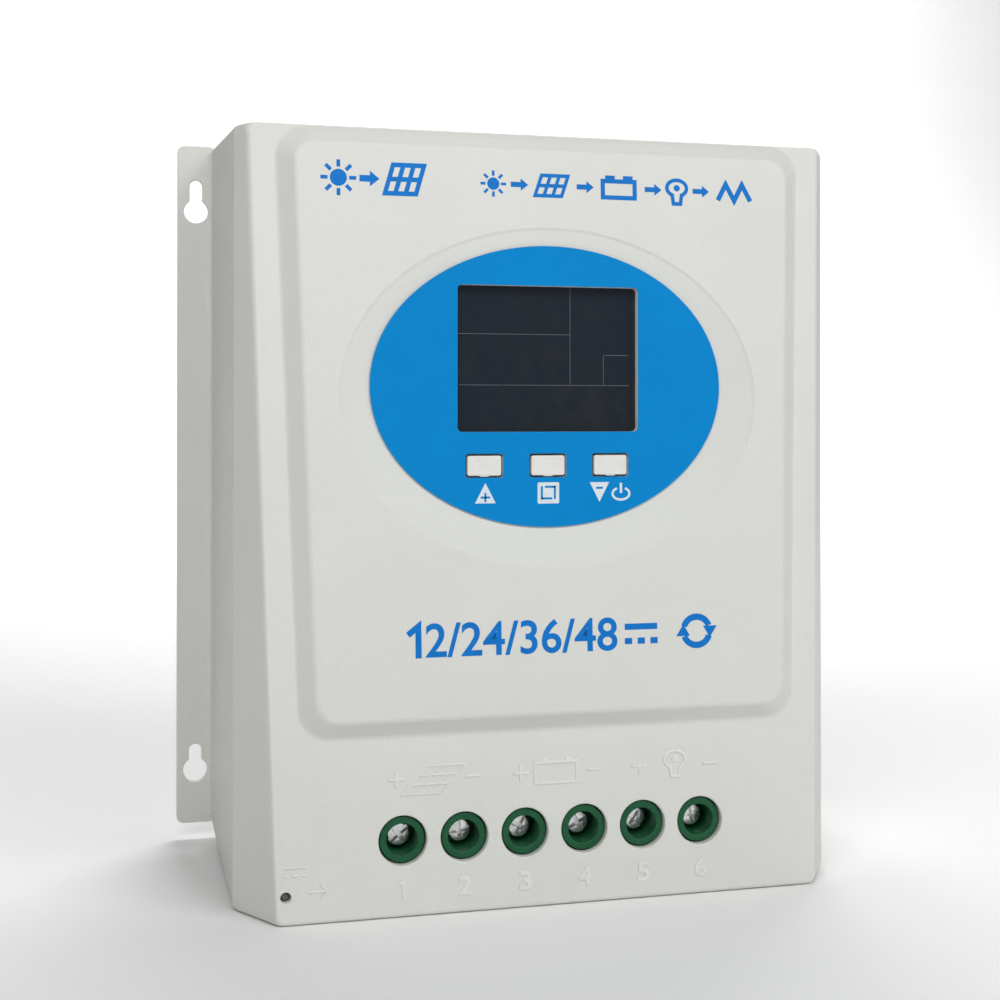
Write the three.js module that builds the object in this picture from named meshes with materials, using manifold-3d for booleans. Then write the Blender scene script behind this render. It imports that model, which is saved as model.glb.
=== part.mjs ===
// Wall-mounted solar charge controller, in millimetres.
//
// +X is to the right as seen from the front, +Z is up, and the front looks along -Y. The wall plane
// is y = 0, so every "depth" below is a distance in front of the wall, and y = -depth. The origin is
// the middle of the back plate's rear face. z is measured from half way up the two mounting flanges.

import * as THREE from "three";
import { ConvexGeometry } from "three/addons/geometries/ConvexGeometry.js";
import { mergeVertices } from "three/addons/utils/BufferGeometryUtils.js";
import Module from "manifold-3d";

const wasm = await Module();
wasm.setup();

// ---------------------------------------------------------------------------------------------
// Driving dimensions
// ---------------------------------------------------------------------------------------------

const GAP = 0.3; // gap between two pieces that touch
const SNUG = 0.4; // clearance beside a piece that drops into a pocket

// Case
const REAR_WIDTH = 198; // outside, at the wall
const SIDE_DRAFT = 1.6; // how far each side leans in between the wall and its shoulder
const SHOULDER_DEPTH = 86.7; // where the sides turn in towards the front
const SHOULDER_SLOPE = 0.622; // how fast the sloping strips close in, per mm of depth
const REAR_HEIGHT = 241.5;
const TOP_FALL = 7.75; // how far the front's top edge is below the rear's
const BOTTOM_FALL = 5.25;
const TOP_EDGE_DEPTH = 92.5; // the front leans back: shallow at the top, deep at the bottom
const BOTTOM_EDGE_DEPTH = 105.5;
const CORNER_RADIUS = 4;
const WALL = 3;
const SHOULDER_WIDTH = REAR_WIDTH - 2 * SIDE_DRAFT;
const FRONT_TOP = REAR_HEIGHT / 2 - TOP_FALL;
const FRONT_BOTTOM = -REAR_HEIGHT / 2 - BOTTOM_FALL;

// Flanges and their keyholes
const FLANGE_REACH = 12; // sideways, past the rear width
const FLANGE_THICKNESS = 2.5;
const FLANGE_CORNER = 2.5;
const KEYHOLE_INSET = 6.5; // from the flange's outer edge
const KEYHOLE_RADIUS = 4.2;
const KEYHOLE_SLOT = 4.4; // slot width
const KEYHOLES = [
  { z: REAR_HEIGHT / 2 - 23.35, slotLength: 11.2 },
  { z: -REAR_HEIGHT / 2 + 18.85, slotLength: 9.2 },
];

// Raised panel on the front
const PANEL_MARGIN = 8.4; // from the front's side edges
const PANEL_TOP_MARGIN = 0.4;
const PANEL_BOTTOM = FRONT_BOTTOM + 53.8;
const PANEL_HEIGHT = 4.7;
const PANEL_BEVEL = 5.3;
const PANEL_CORNER = 9;

// Dish in the panel, with the printed label on its upright floor
const DISH = { x: 0, z: FRONT_TOP - 82.8, halfWidth: 67.1, halfHeight: 52.8 };
const LABEL = { x: DISH.x - 0.7, z: DISH.z + 3.2, halfWidth: 56.6, halfHeight: 43.8 };
const LABEL_DEPTH = 98.9; // of its printed face
const LABEL_THICKNESS = 0.4;
const DISH_WALL = 2.2; // plastic behind the dish's floor

// Screen
const WINDOW = { x: LABEL.x - 0.1, z: LABEL.z + 8.6, width: 58.5, height: 45.5, corner: 1.5 };
const GLASS_LAP = 2.2; // glass hidden behind the window's edge
const GLASS_THICKNESS = 2.4;
const FRAME_RIM = 1.5;
const FRAME_BASE = 3.6; // holder behind the glass

// Keys
const KEY_NAMES = ["up", "set", "down"];
const KEY_ROW = { x: LABEL.x - 0.5, z: LABEL.z - 24.6, pitch: 20.4 };
const KEY_WIDTH = 11.2;
const KEY_HEIGHT = 6.6;
const KEY_GAP = 0.4; // around the cap in its window
const KEY_LIP = 1.4; // lip behind the wall, all round
const KEY_LIP_THICKNESS = 1.2;
const KEY_PROUD = 0.2; // in front of the label
const KEY_TRAVEL = 0.5;
const SWITCH_SIZE = 6;
const SWITCH_HEIGHT = 3.5;
const PLUNGER_RADIUS = 1.7;

// Display board and its posts
const DISPLAY_BOARD = { x: WINDOW.x, z: LABEL.z + 1.6, width: 100, height: 82 };
const DISPLAY_POST = { x: 44, z: 36, radius: 3.5 };
const DISPLAY_SCREW_RADIUS = 1.1;
const BOARD_THICKNESS = 1.6;

// Terminals
const POLES = 6;
const POLE_PITCH = 19;
const POLE_ROW = { x: -0.5, z: FRONT_BOTTOM + 22.6 };
const COLLAR_RADIUS = 6.95;
const COLLAR_SLIT = 0.43; // between the collar and its hole in the case
const COLLAR_RECESS = 1.4; // below the front face
const COLLAR_BORE = 4.75;
const POLE_GAP = 0.4; // between neighbours
const POLE_BOTTOM = FRONT_BOTTOM + 5;
const POLE_TOP = POLE_BOTTOM + 32;
const POLE_BODY_DEPTH = 96;
const POLE_SHOULDER = { from: 90.9, to: 93.1 }; // the screw's seat
const POCKET_FLOOR = 64;
const CAGE_WIDTH = 12;
const CAGE_HEIGHT = 13;
const CAGE_WALL = 1.3;
const CAGE_REAR_BEAM = 2;
const CAGE_FRONT_BEAM = 3;
const CAGE_WINDOW = 13.5; // along the depth
const CAGE_REAR = 66; // depth of the open cage's rear face
const WIRE_ENTRY = { halfWidth: 4.8, from: 67.6, to: 79 };
const BAR_THICKNESS = 1.6;
const BAR_WIDTH = 7.2;
const BAR_REAR = 79.2;
const SCREW_RADIUS = 2.4;
const SCREW_HEAD_RADIUS = 3.5;
const SCREW_HEAD_THICKNESS = 2.9;
const SCREW_TIP = 81.2;

// Main board and aluminium base
const MAIN_BOARD = { width: REAR_WIDTH - 26, bottom: FRONT_BOTTOM + 5.6, top: FRONT_TOP - 37, rear: 57 };
const PLATE_THICKNESS = 3.5;
const PLATE_CLEARANCE = 0.6; // inside the case's back opening
const RAIL = { x: MAIN_BOARD.width / 2 - 14, width: 8, slot: 3.8, slotDepth: 10.5 };
const RIB_BOTTOM = -REAR_HEIGHT / 2 + 8.75;
const RIB_TOP = REAR_HEIGHT / 2 - 20.75;
const PAD = { halfWidth: 25, from: 38, to: 44 };
const FIN_THICKNESS = 2;
const FIN_TIP = 36;
const FINS_X = [32, 39.5, 47, 54.5, 62];
const PAD_LEGS_X = [-23, -11.5, 0, 11.5, 23];
const CASE_SCREW = { x: REAR_WIDTH / 2 - 9, z: REAR_HEIGHT / 2 - 9.75 };
const CASE_SCREW_RADIUS = 1.5;
const CASE_SCREW_HEAD = { radius: 3.6, from: 0.4, to: 2.4 };
const LUG = { size: 12, depth: 24 };
const BOARD_SCREWS = [MAIN_BOARD.top - 14, MAIN_BOARD.bottom + 42.4]
  .flatMap((z) => [{ x: -RAIL.x, z }, { x: RAIL.x, z }]);
const BOARD_SCREW_RADIUS = 1.5;

// Cut-outs in the bottom and top walls
const VENT = { count: 11, pitch: 9, width: 3, from: 8, to: 36 };
const LED = { x: -REAR_WIDTH / 2 + 15.9, z: FRONT_BOTTOM + 8.3, hole: 1.6, pipe: 1.25 };
const USB = { x: LED.x + 9.6, width: 7.1, depth: 14.5, bottom: FRONT_BOTTOM + 4.9, length: 14, wall: 0.6 };

// Parts on the main board
const CAPACITORS = [
  { x: 26, z: -44 },
  { x: 50, z: -44 },
];
const CAPACITOR = { radius: 9, length: 30 };
const INDUCTOR = { x: -42, z: -42, radius: 17, wire: 7.5 };
const MOSFETS_X = [-12, 12];
const MOSFET = { z: 20, width: 15.6, height: 20, thickness: 5 };
const RIBBON = { x: 0, z: 42, width: 20, thickness: 1, plug: 5.15 };

// ---------------------------------------------------------------------------------------------
// Worked-out sizes
// ---------------------------------------------------------------------------------------------

const LEAN = (BOTTOM_EDGE_DEPTH - TOP_EDGE_DEPTH) / (FRONT_TOP - FRONT_BOTTOM);
const frontDepth = (z) => TOP_EDGE_DEPTH + (FRONT_TOP - z) * LEAN;
const frontHalfWidth = (z) => SHOULDER_WIDTH / 2 - SHOULDER_SLOPE * (frontDepth(z) - SHOULDER_DEPTH);
const panelDepth = (z) => frontDepth(z) + PANEL_HEIGHT;

const FLOOR_DEPTH = LABEL_DEPTH - LABEL_THICKNESS - GAP;
const DISPLAY_BACK = FLOOR_DEPTH - DISH_WALL; // the case's inner face behind the dish
const GLASS_FRONT = DISPLAY_BACK - GAP;
const GLASS_REAR = GLASS_FRONT - GLASS_THICKNESS;
const FRAME_REAR = GLASS_REAR - GAP - FRAME_BASE;
const DISPLAY_FRONT = FRAME_REAR - GAP; // the display board's front face
const DISPLAY_REAR = DISPLAY_FRONT - BOARD_THICKNESS;
const SWITCH_REAR = DISPLAY_FRONT + GAP;
const SWITCH_FRONT = SWITCH_REAR + SWITCH_HEIGHT;
const KEY_LIP_FRONT = DISPLAY_BACK - 2 * GAP;
const KEY_LIP_REAR = KEY_LIP_FRONT - KEY_LIP_THICKNESS;
const PLUNGER_FRONT = KEY_LIP_REAR - GAP;
const PLUNGER_REAR = SWITCH_FRONT - KEY_TRAVEL - GAP;

const MAIN_FRONT = MAIN_BOARD.rear + BOARD_THICKNESS;
const ON_BOARD = MAIN_FRONT + GAP;
const RAIL_TIP = MAIN_BOARD.rear - GAP;

const CAGE_FRONT = CAGE_REAR + CAGE_REAR_BEAM + CAGE_WINDOW + CAGE_FRONT_BEAM;
const COLLAR_FRONT = frontDepth(POLE_ROW.z) - COLLAR_RECESS;
const SCREW_HEAD_REAR = POLE_SHOULDER.to + GAP;
const BAR_FRONT = BAR_REAR + BAR_THICKNESS;

const poleX = (i) => POLE_ROW.x + (i - (POLES - 1) / 2) * POLE_PITCH;
const keyX = (i) => KEY_ROW.x + (i - (KEY_NAMES.length - 1) / 2) * KEY_ROW.pitch;

// ---------------------------------------------------------------------------------------------
// Solids
// ---------------------------------------------------------------------------------------------

function solid(geometry) {
  const bare = geometry.clone();
  bare.deleteAttribute("normal");
  bare.deleteAttribute("uv");
  const merged = mergeVertices(bare, 1e-4);
  return new wasm.Manifold(
    new wasm.Mesh({
      numProp: 3,
      vertProperties: new Float32Array(merged.attributes.position.array),
      triVerts: new Uint32Array(merged.index.array),
    }),
  );
}

const join = (first, ...others) => others.reduce((sum, next) => sum.add(next), first);
const cut = (first, ...others) => others.reduce((rest, next) => rest.subtract(next), first);

// A box between two x, two depths and two z.
function box(x0, x1, depth0, depth1, z0, z1) {
  const geometry = new THREE.BoxGeometry(x1 - x0, depth1 - depth0, z1 - z0);
  geometry.translate((x0 + x1) / 2, -(depth0 + depth1) / 2, (z0 + z1) / 2);
  return solid(geometry);
}

// A round bar along the depth.
function rod(x, z, radius, depth0, depth1, sides = 20) {
  const geometry = new THREE.CylinderGeometry(radius, radius, depth1 - depth0, sides);
  geometry.translate(x, -(depth0 + depth1) / 2, z);
  return solid(geometry);
}

// The convex solid around loops of [x, depth, z] points.
function hull(...loops) {
  const points = loops.flat().map(([x, depth, z]) => new THREE.Vector3(x, -depth, z));
  return solid(new ConvexGeometry(points));
}

// A four-sided outline with round corners. Its half width and its depth may change with z.
function outline(halfWidthAt, z0, z1, radius, depthAt, steps = 3) {
  const loop = [];
  for (const [side, end] of [[1, 1], [-1, 1], [-1, -1], [1, -1]]) {
    for (let i = 0; i <= steps; i += 1) {
      const angle = (i / steps) * (Math.PI / 2);
      const z = (end > 0 ? z1 - radius : z0 + radius) + end * radius * Math.sin(angle);
      const x = side * (halfWidthAt(z) - radius * (1 - Math.cos(angle)));
      loop.push([x, depthAt(z), z]);
    }
  }
  return loop;
}

function ellipse({ x, z, halfWidth, halfHeight }, grow, depthAt, sides = 48) {
  const loop = [];
  for (let i = 0; i < sides; i += 1) {
    const angle = (i / sides) * 2 * Math.PI;
    const pointZ = z + (halfHeight + grow) * Math.sin(angle);
    loop.push([x + (halfWidth + grow) * Math.cos(angle), depthAt(pointZ), pointZ]);
  }
  return loop;
}

// A plate with round corners, centred on x and z.
function plate({ x, z, width, height }, radius, depth0, depth1) {
  const at = (depth) => outline(() => width / 2, z - height / 2, z + height / 2, radius, () => depth)
    .map(([px, d, pz]) => [px + x, d, pz]);
  return hull(at(depth0), at(depth1));
}

// ---------------------------------------------------------------------------------------------
// Materials and the scene
// ---------------------------------------------------------------------------------------------

const MATERIALS = {
  case: ["#d6d7d3", 0.55, 0],
  label: ["#0a84cc", 0.4, 0],
  glass: ["#23262a", 0.08, 0],
  frame: ["#e8e8e4", 0.5, 0],
  key: ["#eceae2", 0.45, 0],
  circuit: ["#1d6b3c", 0.5, 0],
  black: ["#1d1d1f", 0.5, 0],
  terminal: ["#1b6443", 0.45, 0],
  zinc: ["#b9bcbd", 0.3, 1],
  steel: ["#a9acb0", 0.35, 1],
  copper: ["#c58a56", 0.35, 1],
  aluminium: ["#bfc1c3", 0.4, 1],
  enamel: ["#a2552b", 0.4, 0.4],
  pipe: ["#cfe3d2", 0.15, 0],
};

const controller = new THREE.Group();
controller.name = "charge_controller";

function piece(name, shape, look) {
  const { vertProperties, triVerts } = shape.getMesh();
  const geometry = new THREE.BufferGeometry();
  geometry.setAttribute("position", new THREE.BufferAttribute(new Float32Array(vertProperties), 3));
  geometry.setIndex(new THREE.BufferAttribute(new Uint32Array(triVerts), 1));
  geometry.computeVertexNormals();
  const [color, roughness, metalness] = MATERIALS[look];
  const mesh = new THREE.Mesh(geometry, new THREE.MeshStandardMaterial({ color, roughness, metalness }));
  mesh.name = name;
  controller.add(mesh);
}

// ---------------------------------------------------------------------------------------------
// Case: one moulding with the front, the four walls and the two flanges
// ---------------------------------------------------------------------------------------------

// The case's outside, or the same form set inwards by a wall.
function caseForm(inset, rearDepth) {
  const lean = Math.hypot(1, SHOULDER_SLOPE);
  const shoulder = SHOULDER_DEPTH - (inset * (lean - 1)) / SHOULDER_SLOPE;
  const narrowing = inset * (lean - SHOULDER_SLOPE);
  const radius = CORNER_RADIUS - inset / 2;
  const low = FRONT_BOTTOM + inset;
  const high = FRONT_TOP - inset;
  const rear = REAR_HEIGHT / 2 - inset;
  return hull(
    outline(() => REAR_WIDTH / 2 - inset, -rear, rear, radius, () => rearDepth),
    outline(() => SHOULDER_WIDTH / 2 - inset, low, high, radius, () => shoulder),
    outline((z) => frontHalfWidth(z) - narrowing, low, high, radius, (z) => frontDepth(z) - inset),
  );
}

function panelForm(inset, rise) {
  const base = PANEL_MARGIN + inset;
  const top = base + PANEL_BEVEL;
  const loop = (margin, radius, lift) => outline(
    (z) => frontHalfWidth(z) - margin,
    PANEL_BOTTOM + margin - PANEL_MARGIN,
    FRONT_TOP - PANEL_TOP_MARGIN - margin + PANEL_MARGIN,
    radius,
    (z) => frontDepth(z) + lift,
  );
  return hull(
    loop(base, PANEL_CORNER, -2 * WALL),
    loop(base, PANEL_CORNER, rise - PANEL_HEIGHT),
    loop(top, PANEL_CORNER - 2, rise),
  );
}

function keyhole(side, { z, slotLength }) {
  const x = side * (REAR_WIDTH / 2 + FLANGE_REACH - KEYHOLE_INSET);
  const half = KEYHOLE_SLOT / 2;
  const slotTop = z + slotLength;
  const [from, to] = [-1, FLANGE_THICKNESS + 1];
  return join(
    rod(x, z, KEYHOLE_RADIUS, from, to, 28),
    box(x - half, x + half, from, to, z, slotTop - half),
    rod(x, slotTop - half, half, from, to, 16),
  );
}

function frontCase() {
  const outside = join(caseForm(0, 0), panelForm(0, PANEL_HEIGHT));
  const flanges = plate(
    { x: 0, z: 0, width: REAR_WIDTH + 2 * FLANGE_REACH, height: REAR_HEIGHT },
    FLANGE_CORNER, 0, FLANGE_THICKNESS,
  );
  let shell = join(outside, flanges);
  shell = cut(shell, caseForm(WALL, -1), panelForm(WALL, PANEL_HEIGHT - WALL));

  // The bowl behind the dish, then the posts for the display board.
  const bowl = hull(
    ellipse(LABEL, DISH_WALL, () => DISPLAY_BACK),
    ellipse(DISH, DISH_WALL, (z) => panelDepth(z)),
  );
  shell = join(shell, bowl.intersect(outside));
  for (const [sx, sz] of [[-1, -1], [1, -1], [-1, 1], [1, 1]]) {
    const x = DISPLAY_BOARD.x + sx * DISPLAY_POST.x;
    const z = DISPLAY_BOARD.z + sz * DISPLAY_POST.z;
    const tip = DISPLAY_FRONT + GAP;
    const post = rod(x, z, DISPLAY_POST.radius, tip, panelDepth(z) - 1).intersect(outside);
    shell = join(shell, post);
    shell = cut(shell, rod(x, z, DISPLAY_SCREW_RADIUS + GAP, tip - 1, tip + 6, 16));
  }

  // The dish, the screen's window and the key windows.
  const dish = hull(
    ellipse(LABEL, SNUG, () => FLOOR_DEPTH),
    ellipse(DISH, 0, (z) => panelDepth(z)),
    ellipse(DISH, 0, (z) => panelDepth(z) + PANEL_HEIGHT),
  );
  shell = cut(shell, dish, plate(WINDOW, WINDOW.corner, DISPLAY_BACK - 1, LABEL_DEPTH));
  for (let i = 0; i < KEY_NAMES.length; i += 1) {
    shell = cut(shell, keyWindow(i, DISPLAY_BACK - 1, LABEL_DEPTH));
  }

  // Four lugs inside the corners take the screws of the back plate.
  for (const [sx, sz] of [[-1, -1], [1, -1], [-1, 1], [1, 1]]) {
    const [x, z] = [sx * CASE_SCREW.x, sz * CASE_SCREW.z];
    const half = LUG.size / 2;
    const lug = box(x - half, x + half, PLATE_THICKNESS + GAP, LUG.depth, z - half, z + half);
    shell = join(shell, lug.intersect(caseForm(0, 0)));
    shell = cut(shell, rod(x, z, CASE_SCREW_RADIUS + GAP, 0, LUG.depth - WALL, 16));
  }

  // Holes in the front for the terminals and the light.
  const frontEnd = BOTTOM_EDGE_DEPTH + 1;
  const holeRadius = COLLAR_RADIUS + COLLAR_SLIT;
  for (let i = 0; i < POLES; i += 1) {
    shell = cut(shell, rod(poleX(i), POLE_ROW.z, holeRadius, POLE_BODY_DEPTH, frontEnd, 32));
  }
  shell = cut(shell, rod(LED.x, LED.z, LED.hole, POLE_BODY_DEPTH, frontEnd, 16));

  // Wire and USB cut-outs in the bottom wall, and air slots in the top and bottom walls.
  const below = FRONT_BOTTOM - 1;
  const inside = POLE_BOTTOM + 1;
  const [wires0, wires1] = [poleX(0) - POLE_PITCH / 2 + 1, poleX(POLES - 1) + POLE_PITCH / 2 - 1];
  const [usb0, usb1] = [USB.x - USB.width / 2 - 1, USB.x + USB.width / 2 + 1];
  shell = cut(
    shell,
    box(wires0, wires1, WIRE_ENTRY.from - 2, WIRE_ENTRY.to + 2, below, inside),
    box(usb0, usb1, ON_BOARD - 1, ON_BOARD + USB.depth + 1, below, inside),
  );
  for (let i = 0; i < VENT.count; i += 1) {
    const x = (i - (VENT.count - 1) / 2) * VENT.pitch;
    const [x0, x1] = [x - VENT.width / 2, x + VENT.width / 2];
    shell = cut(
      shell,
      box(x0, x1, VENT.from, VENT.to, FRONT_TOP - WALL, REAR_HEIGHT / 2 + 1),
      box(x0, x1, VENT.from, VENT.to, below, -REAR_HEIGHT / 2 + 2 * WALL),
    );
  }

  for (const side of [-1, 1]) {
    for (const hole of KEYHOLES) {
      shell = cut(shell, keyhole(side, hole));
    }
  }
  return shell;
}

function keyWindow(i, depth0, depth1) {
  const [x, z] = [keyX(i), KEY_ROW.z];
  const [wide, tall] = [KEY_WIDTH / 2 + KEY_GAP, KEY_HEIGHT / 2 + KEY_GAP];
  return box(x - wide, x + wide, depth0, depth1, z - tall, z + tall);
}

piece("front_case", frontCase(), "case");

// ---------------------------------------------------------------------------------------------
// Label, screen, keys and display board
// ---------------------------------------------------------------------------------------------

function labelOverlay() {
  const [rear, front] = [LABEL_DEPTH - LABEL_THICKNESS, LABEL_DEPTH];
  let film = hull(ellipse(LABEL, 0, () => rear), ellipse(LABEL, 0, () => front));
  film = cut(film, plate(WINDOW, WINDOW.corner, rear - 1, front + 1));
  for (let i = 0; i < KEY_NAMES.length; i += 1) {
    film = cut(film, keyWindow(i, rear - 1, front + 1));
  }
  return film;
}

piece("label_overlay", labelOverlay(), "label");

const grown = (shape, by) => ({ ...shape, width: shape.width + 2 * by, height: shape.height + 2 * by });
const glassSize = grown(WINDOW, GLASS_LAP);
piece("lcd_glass", plate(glassSize, 0.5, GLASS_REAR, GLASS_FRONT), "glass");

const lcdFrame = cut(
  plate(grown(glassSize, SNUG + FRAME_RIM), 1.5, FRAME_REAR, GLASS_FRONT),
  plate(grown(glassSize, SNUG), 0.5, GLASS_REAR - GAP, GLASS_FRONT + 1),
);
piece("lcd_frame", lcdFrame, "frame");

KEY_NAMES.forEach((name, i) => {
  const [x, z] = [keyX(i), KEY_ROW.z];
  const cap = join(
    plate({ x, z, width: KEY_WIDTH, height: KEY_HEIGHT }, 0.6, KEY_LIP_REAR, LABEL_DEPTH + KEY_PROUD),
    box(
      x - KEY_WIDTH / 2 - KEY_LIP, x + KEY_WIDTH / 2 + KEY_LIP, KEY_LIP_REAR, KEY_LIP_FRONT,
      z - KEY_HEIGHT / 2 - KEY_LIP, z + KEY_HEIGHT / 2 + KEY_LIP,
    ),
  );
  piece(`key_cap_${name}`, cap, "key");

  const body = cut(
    plate({ x, z, width: SWITCH_SIZE, height: SWITCH_SIZE }, 0.5, SWITCH_REAR, SWITCH_FRONT),
    rod(x, z, PLUNGER_RADIUS + GAP, PLUNGER_REAR - KEY_TRAVEL - GAP, SWITCH_FRONT + 1, 20),
  );
  piece(`tact_switch_${name}`, body, "black");
  piece(`switch_plunger_${name}`, rod(x, z, PLUNGER_RADIUS, PLUNGER_REAR, PLUNGER_FRONT, 20), "black");
});

function displayBoard() {
  let board = plate(DISPLAY_BOARD, 2, DISPLAY_REAR, DISPLAY_FRONT);
  for (const [sx, sz] of [[-1, -1], [1, -1], [-1, 1], [1, 1]]) {
    const x = DISPLAY_BOARD.x + sx * DISPLAY_POST.x;
    const z = DISPLAY_BOARD.z + sz * DISPLAY_POST.z;
    board = cut(board, rod(x, z, DISPLAY_SCREW_RADIUS + GAP, DISPLAY_REAR - 1, DISPLAY_FRONT + 1, 16));
  }
  return board;
}

piece("display_board", displayBoard(), "circuit");

// A pan-head screw along the depth with a cross recess. Its head is at "headDepth", towards "facing":
// +1 for a head that looks to the front, -1 for one that looks to the wall.
function panScrew(x, z, radius, headRadius, headThickness, headDepth, length, facing) {
  const head = [headDepth, headDepth + facing * headThickness];
  const shank = [headDepth + facing * 0.1, headDepth - facing * length];
  const slotFrom = headDepth + facing * headThickness * 0.4;
  const slotTo = headDepth + facing * (headThickness + 1);
  const span = (pair) => [Math.min(...pair), Math.max(...pair)];
  const [s0, s1] = span([slotFrom, slotTo]);
  const reach = headRadius * 0.62;
  return cut(
    join(rod(x, z, headRadius, ...span(head), 16), rod(x, z, radius, ...span(shank), 10)),
    box(x - reach, x + reach, s0, s1, z - 0.4, z + 0.4),
    box(x - 0.4, x + 0.4, s0, s1, z - reach, z + reach),
  );
}

[[-1, 1], [1, 1], [-1, -1], [1, -1]].forEach(([sx, sz], i) => {
  const x = DISPLAY_BOARD.x + sx * DISPLAY_POST.x;
  const z = DISPLAY_BOARD.z + sz * DISPLAY_POST.z;
  const screw = panScrew(x, z, DISPLAY_SCREW_RADIUS, 2.3, 1.6, DISPLAY_REAR - GAP, BOARD_THICKNESS + 5, -1);
  piece(`display_screw_${i + 1}`, screw, "zinc");
});

// ---------------------------------------------------------------------------------------------
// Terminals: body, screw, rising cage and contact bar of each pole
// ---------------------------------------------------------------------------------------------

function terminalBody(x) {
  const z = POLE_ROW.z;
  const half = (POLE_PITCH - POLE_GAP) / 2;
  const pocket = { x: CAGE_WIDTH / 2 + SNUG, z: CAGE_HEIGHT / 2 + SNUG };
  const bar = BAR_WIDTH / 2 + SNUG;
  const channelTop = POLE_TOP - WALL;
  const channelBottom = channelTop - BAR_THICKNESS - 2 * SNUG;
  return cut(
    join(
      box(x - half, x + half, ON_BOARD, POLE_BODY_DEPTH, POLE_BOTTOM, POLE_TOP),
      rod(x, z, COLLAR_RADIUS, POLE_BODY_DEPTH - 1, COLLAR_FRONT, 28),
    ),
    box(x - pocket.x, x + pocket.x, POCKET_FLOOR, POLE_SHOULDER.from, z - pocket.z, z + pocket.z),
    box(
      x - WIRE_ENTRY.halfWidth, x + WIRE_ENTRY.halfWidth, WIRE_ENTRY.from, WIRE_ENTRY.to,
      POLE_BOTTOM - 1, z - pocket.z + 1,
    ),
    box(x - bar, x + bar, BAR_REAR - SNUG, BAR_FRONT + SNUG, z + pocket.z - 1, channelTop),
    box(x - bar, x + bar, ON_BOARD - 1, BAR_FRONT + SNUG, channelBottom, channelTop),
    rod(x, z, SCREW_RADIUS + SNUG, POLE_SHOULDER.from - 1, POLE_SHOULDER.to + 1, 16),
    rod(x, z, COLLAR_BORE, POLE_SHOULDER.to, COLLAR_FRONT + 1, 28),
  );
}

function terminalScrew(x) {
  return panScrew(
    x, POLE_ROW.z, SCREW_RADIUS, SCREW_HEAD_RADIUS, SCREW_HEAD_THICKNESS, SCREW_HEAD_REAR,
    SCREW_HEAD_REAR - SCREW_TIP, 1,
  );
}

function clampCage(x) {
  const z = POLE_ROW.z;
  const [half, tall] = [CAGE_WIDTH / 2, CAGE_HEIGHT / 2];
  const inner = half - CAGE_WALL;
  const windowRear = CAGE_REAR + CAGE_REAR_BEAM;
  const windowFront = windowRear + CAGE_WINDOW;
  return cut(
    box(x - half, x + half, CAGE_REAR, CAGE_FRONT, z - tall, z + tall),
    box(x - inner, x + inner, windowRear, windowFront, z - tall - 1, z + tall + 1),
    rod(x, z, SCREW_RADIUS + GAP, windowFront - 1, CAGE_FRONT + 1, 16),
  );
}

function contactBar(x) {
  const [half, top] = [BAR_WIDTH / 2, POLE_TOP - WALL - SNUG];
  return join(
    box(x - half, x + half, BAR_REAR, BAR_FRONT, POLE_ROW.z - CAGE_HEIGHT / 2, top),
    box(x - half, x + half, ON_BOARD, BAR_FRONT, top - BAR_THICKNESS, top),
  );
}

for (let i = 0; i < POLES; i += 1) {
  const x = poleX(i);
  piece(`terminal_body_${i + 1}`, terminalBody(x), "terminal");
  piece(`terminal_screw_${i + 1}`, terminalScrew(x), "zinc");
  piece(`clamp_cage_${i + 1}`, clampCage(x), "steel");
  piece(`contact_bar_${i + 1}`, contactBar(x), "copper");
}

// ---------------------------------------------------------------------------------------------
// Main board and what stands on it
// ---------------------------------------------------------------------------------------------

function mainBoard() {
  const { width, bottom, top, rear } = MAIN_BOARD;
  const size = { x: 0, z: (bottom + top) / 2, width, height: top - bottom };
  let board = plate(size, 2, rear, MAIN_FRONT);
  for (const { x, z } of BOARD_SCREWS) {
    board = cut(board, rod(x, z, BOARD_SCREW_RADIUS + SNUG, rear - 1, MAIN_FRONT + 1, 16));
  }
  return board;
}

piece("main_board", mainBoard(), "circuit");

BOARD_SCREWS.forEach(({ x, z }, i) => {
  const screw = panScrew(x, z, BOARD_SCREW_RADIUS, 3, 2, ON_BOARD, 9, 1);
  piece(`board_screw_${i + 1}`, screw, "zinc");
});

CAPACITORS.forEach(({ x, z }, i) => {
  const rim = CAPACITOR.radius;
  const top = ON_BOARD + CAPACITOR.length;
  const neck = ON_BOARD + 3;
  const crimp = rod(x, z, rim - 0.6, neck - 0.5, neck + 1.7);
  const can = cut(
    join(rod(x, z, rim, ON_BOARD, neck), crimp, rod(x, z, rim, neck + 1.2, top)),
    box(x - rim * 0.7, x + rim * 0.7, top - 0.4, top + 1, z - 0.3, z + 0.3),
    box(x - 0.3, x + 0.3, top - 0.4, top + 1, z - rim * 0.7, z + rim * 0.7),
  );
  piece(`capacitor_${i + 1}`, can, "black");
});

function inductor() {
  const torus = new THREE.TorusGeometry(INDUCTOR.radius, INDUCTOR.wire, 12, 28);
  torus.rotateX(Math.PI / 2);
  torus.translate(INDUCTOR.x, -(ON_BOARD + INDUCTOR.wire), INDUCTOR.z);
  return solid(torus);
}

piece("power_inductor", inductor(), "enamel");

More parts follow.
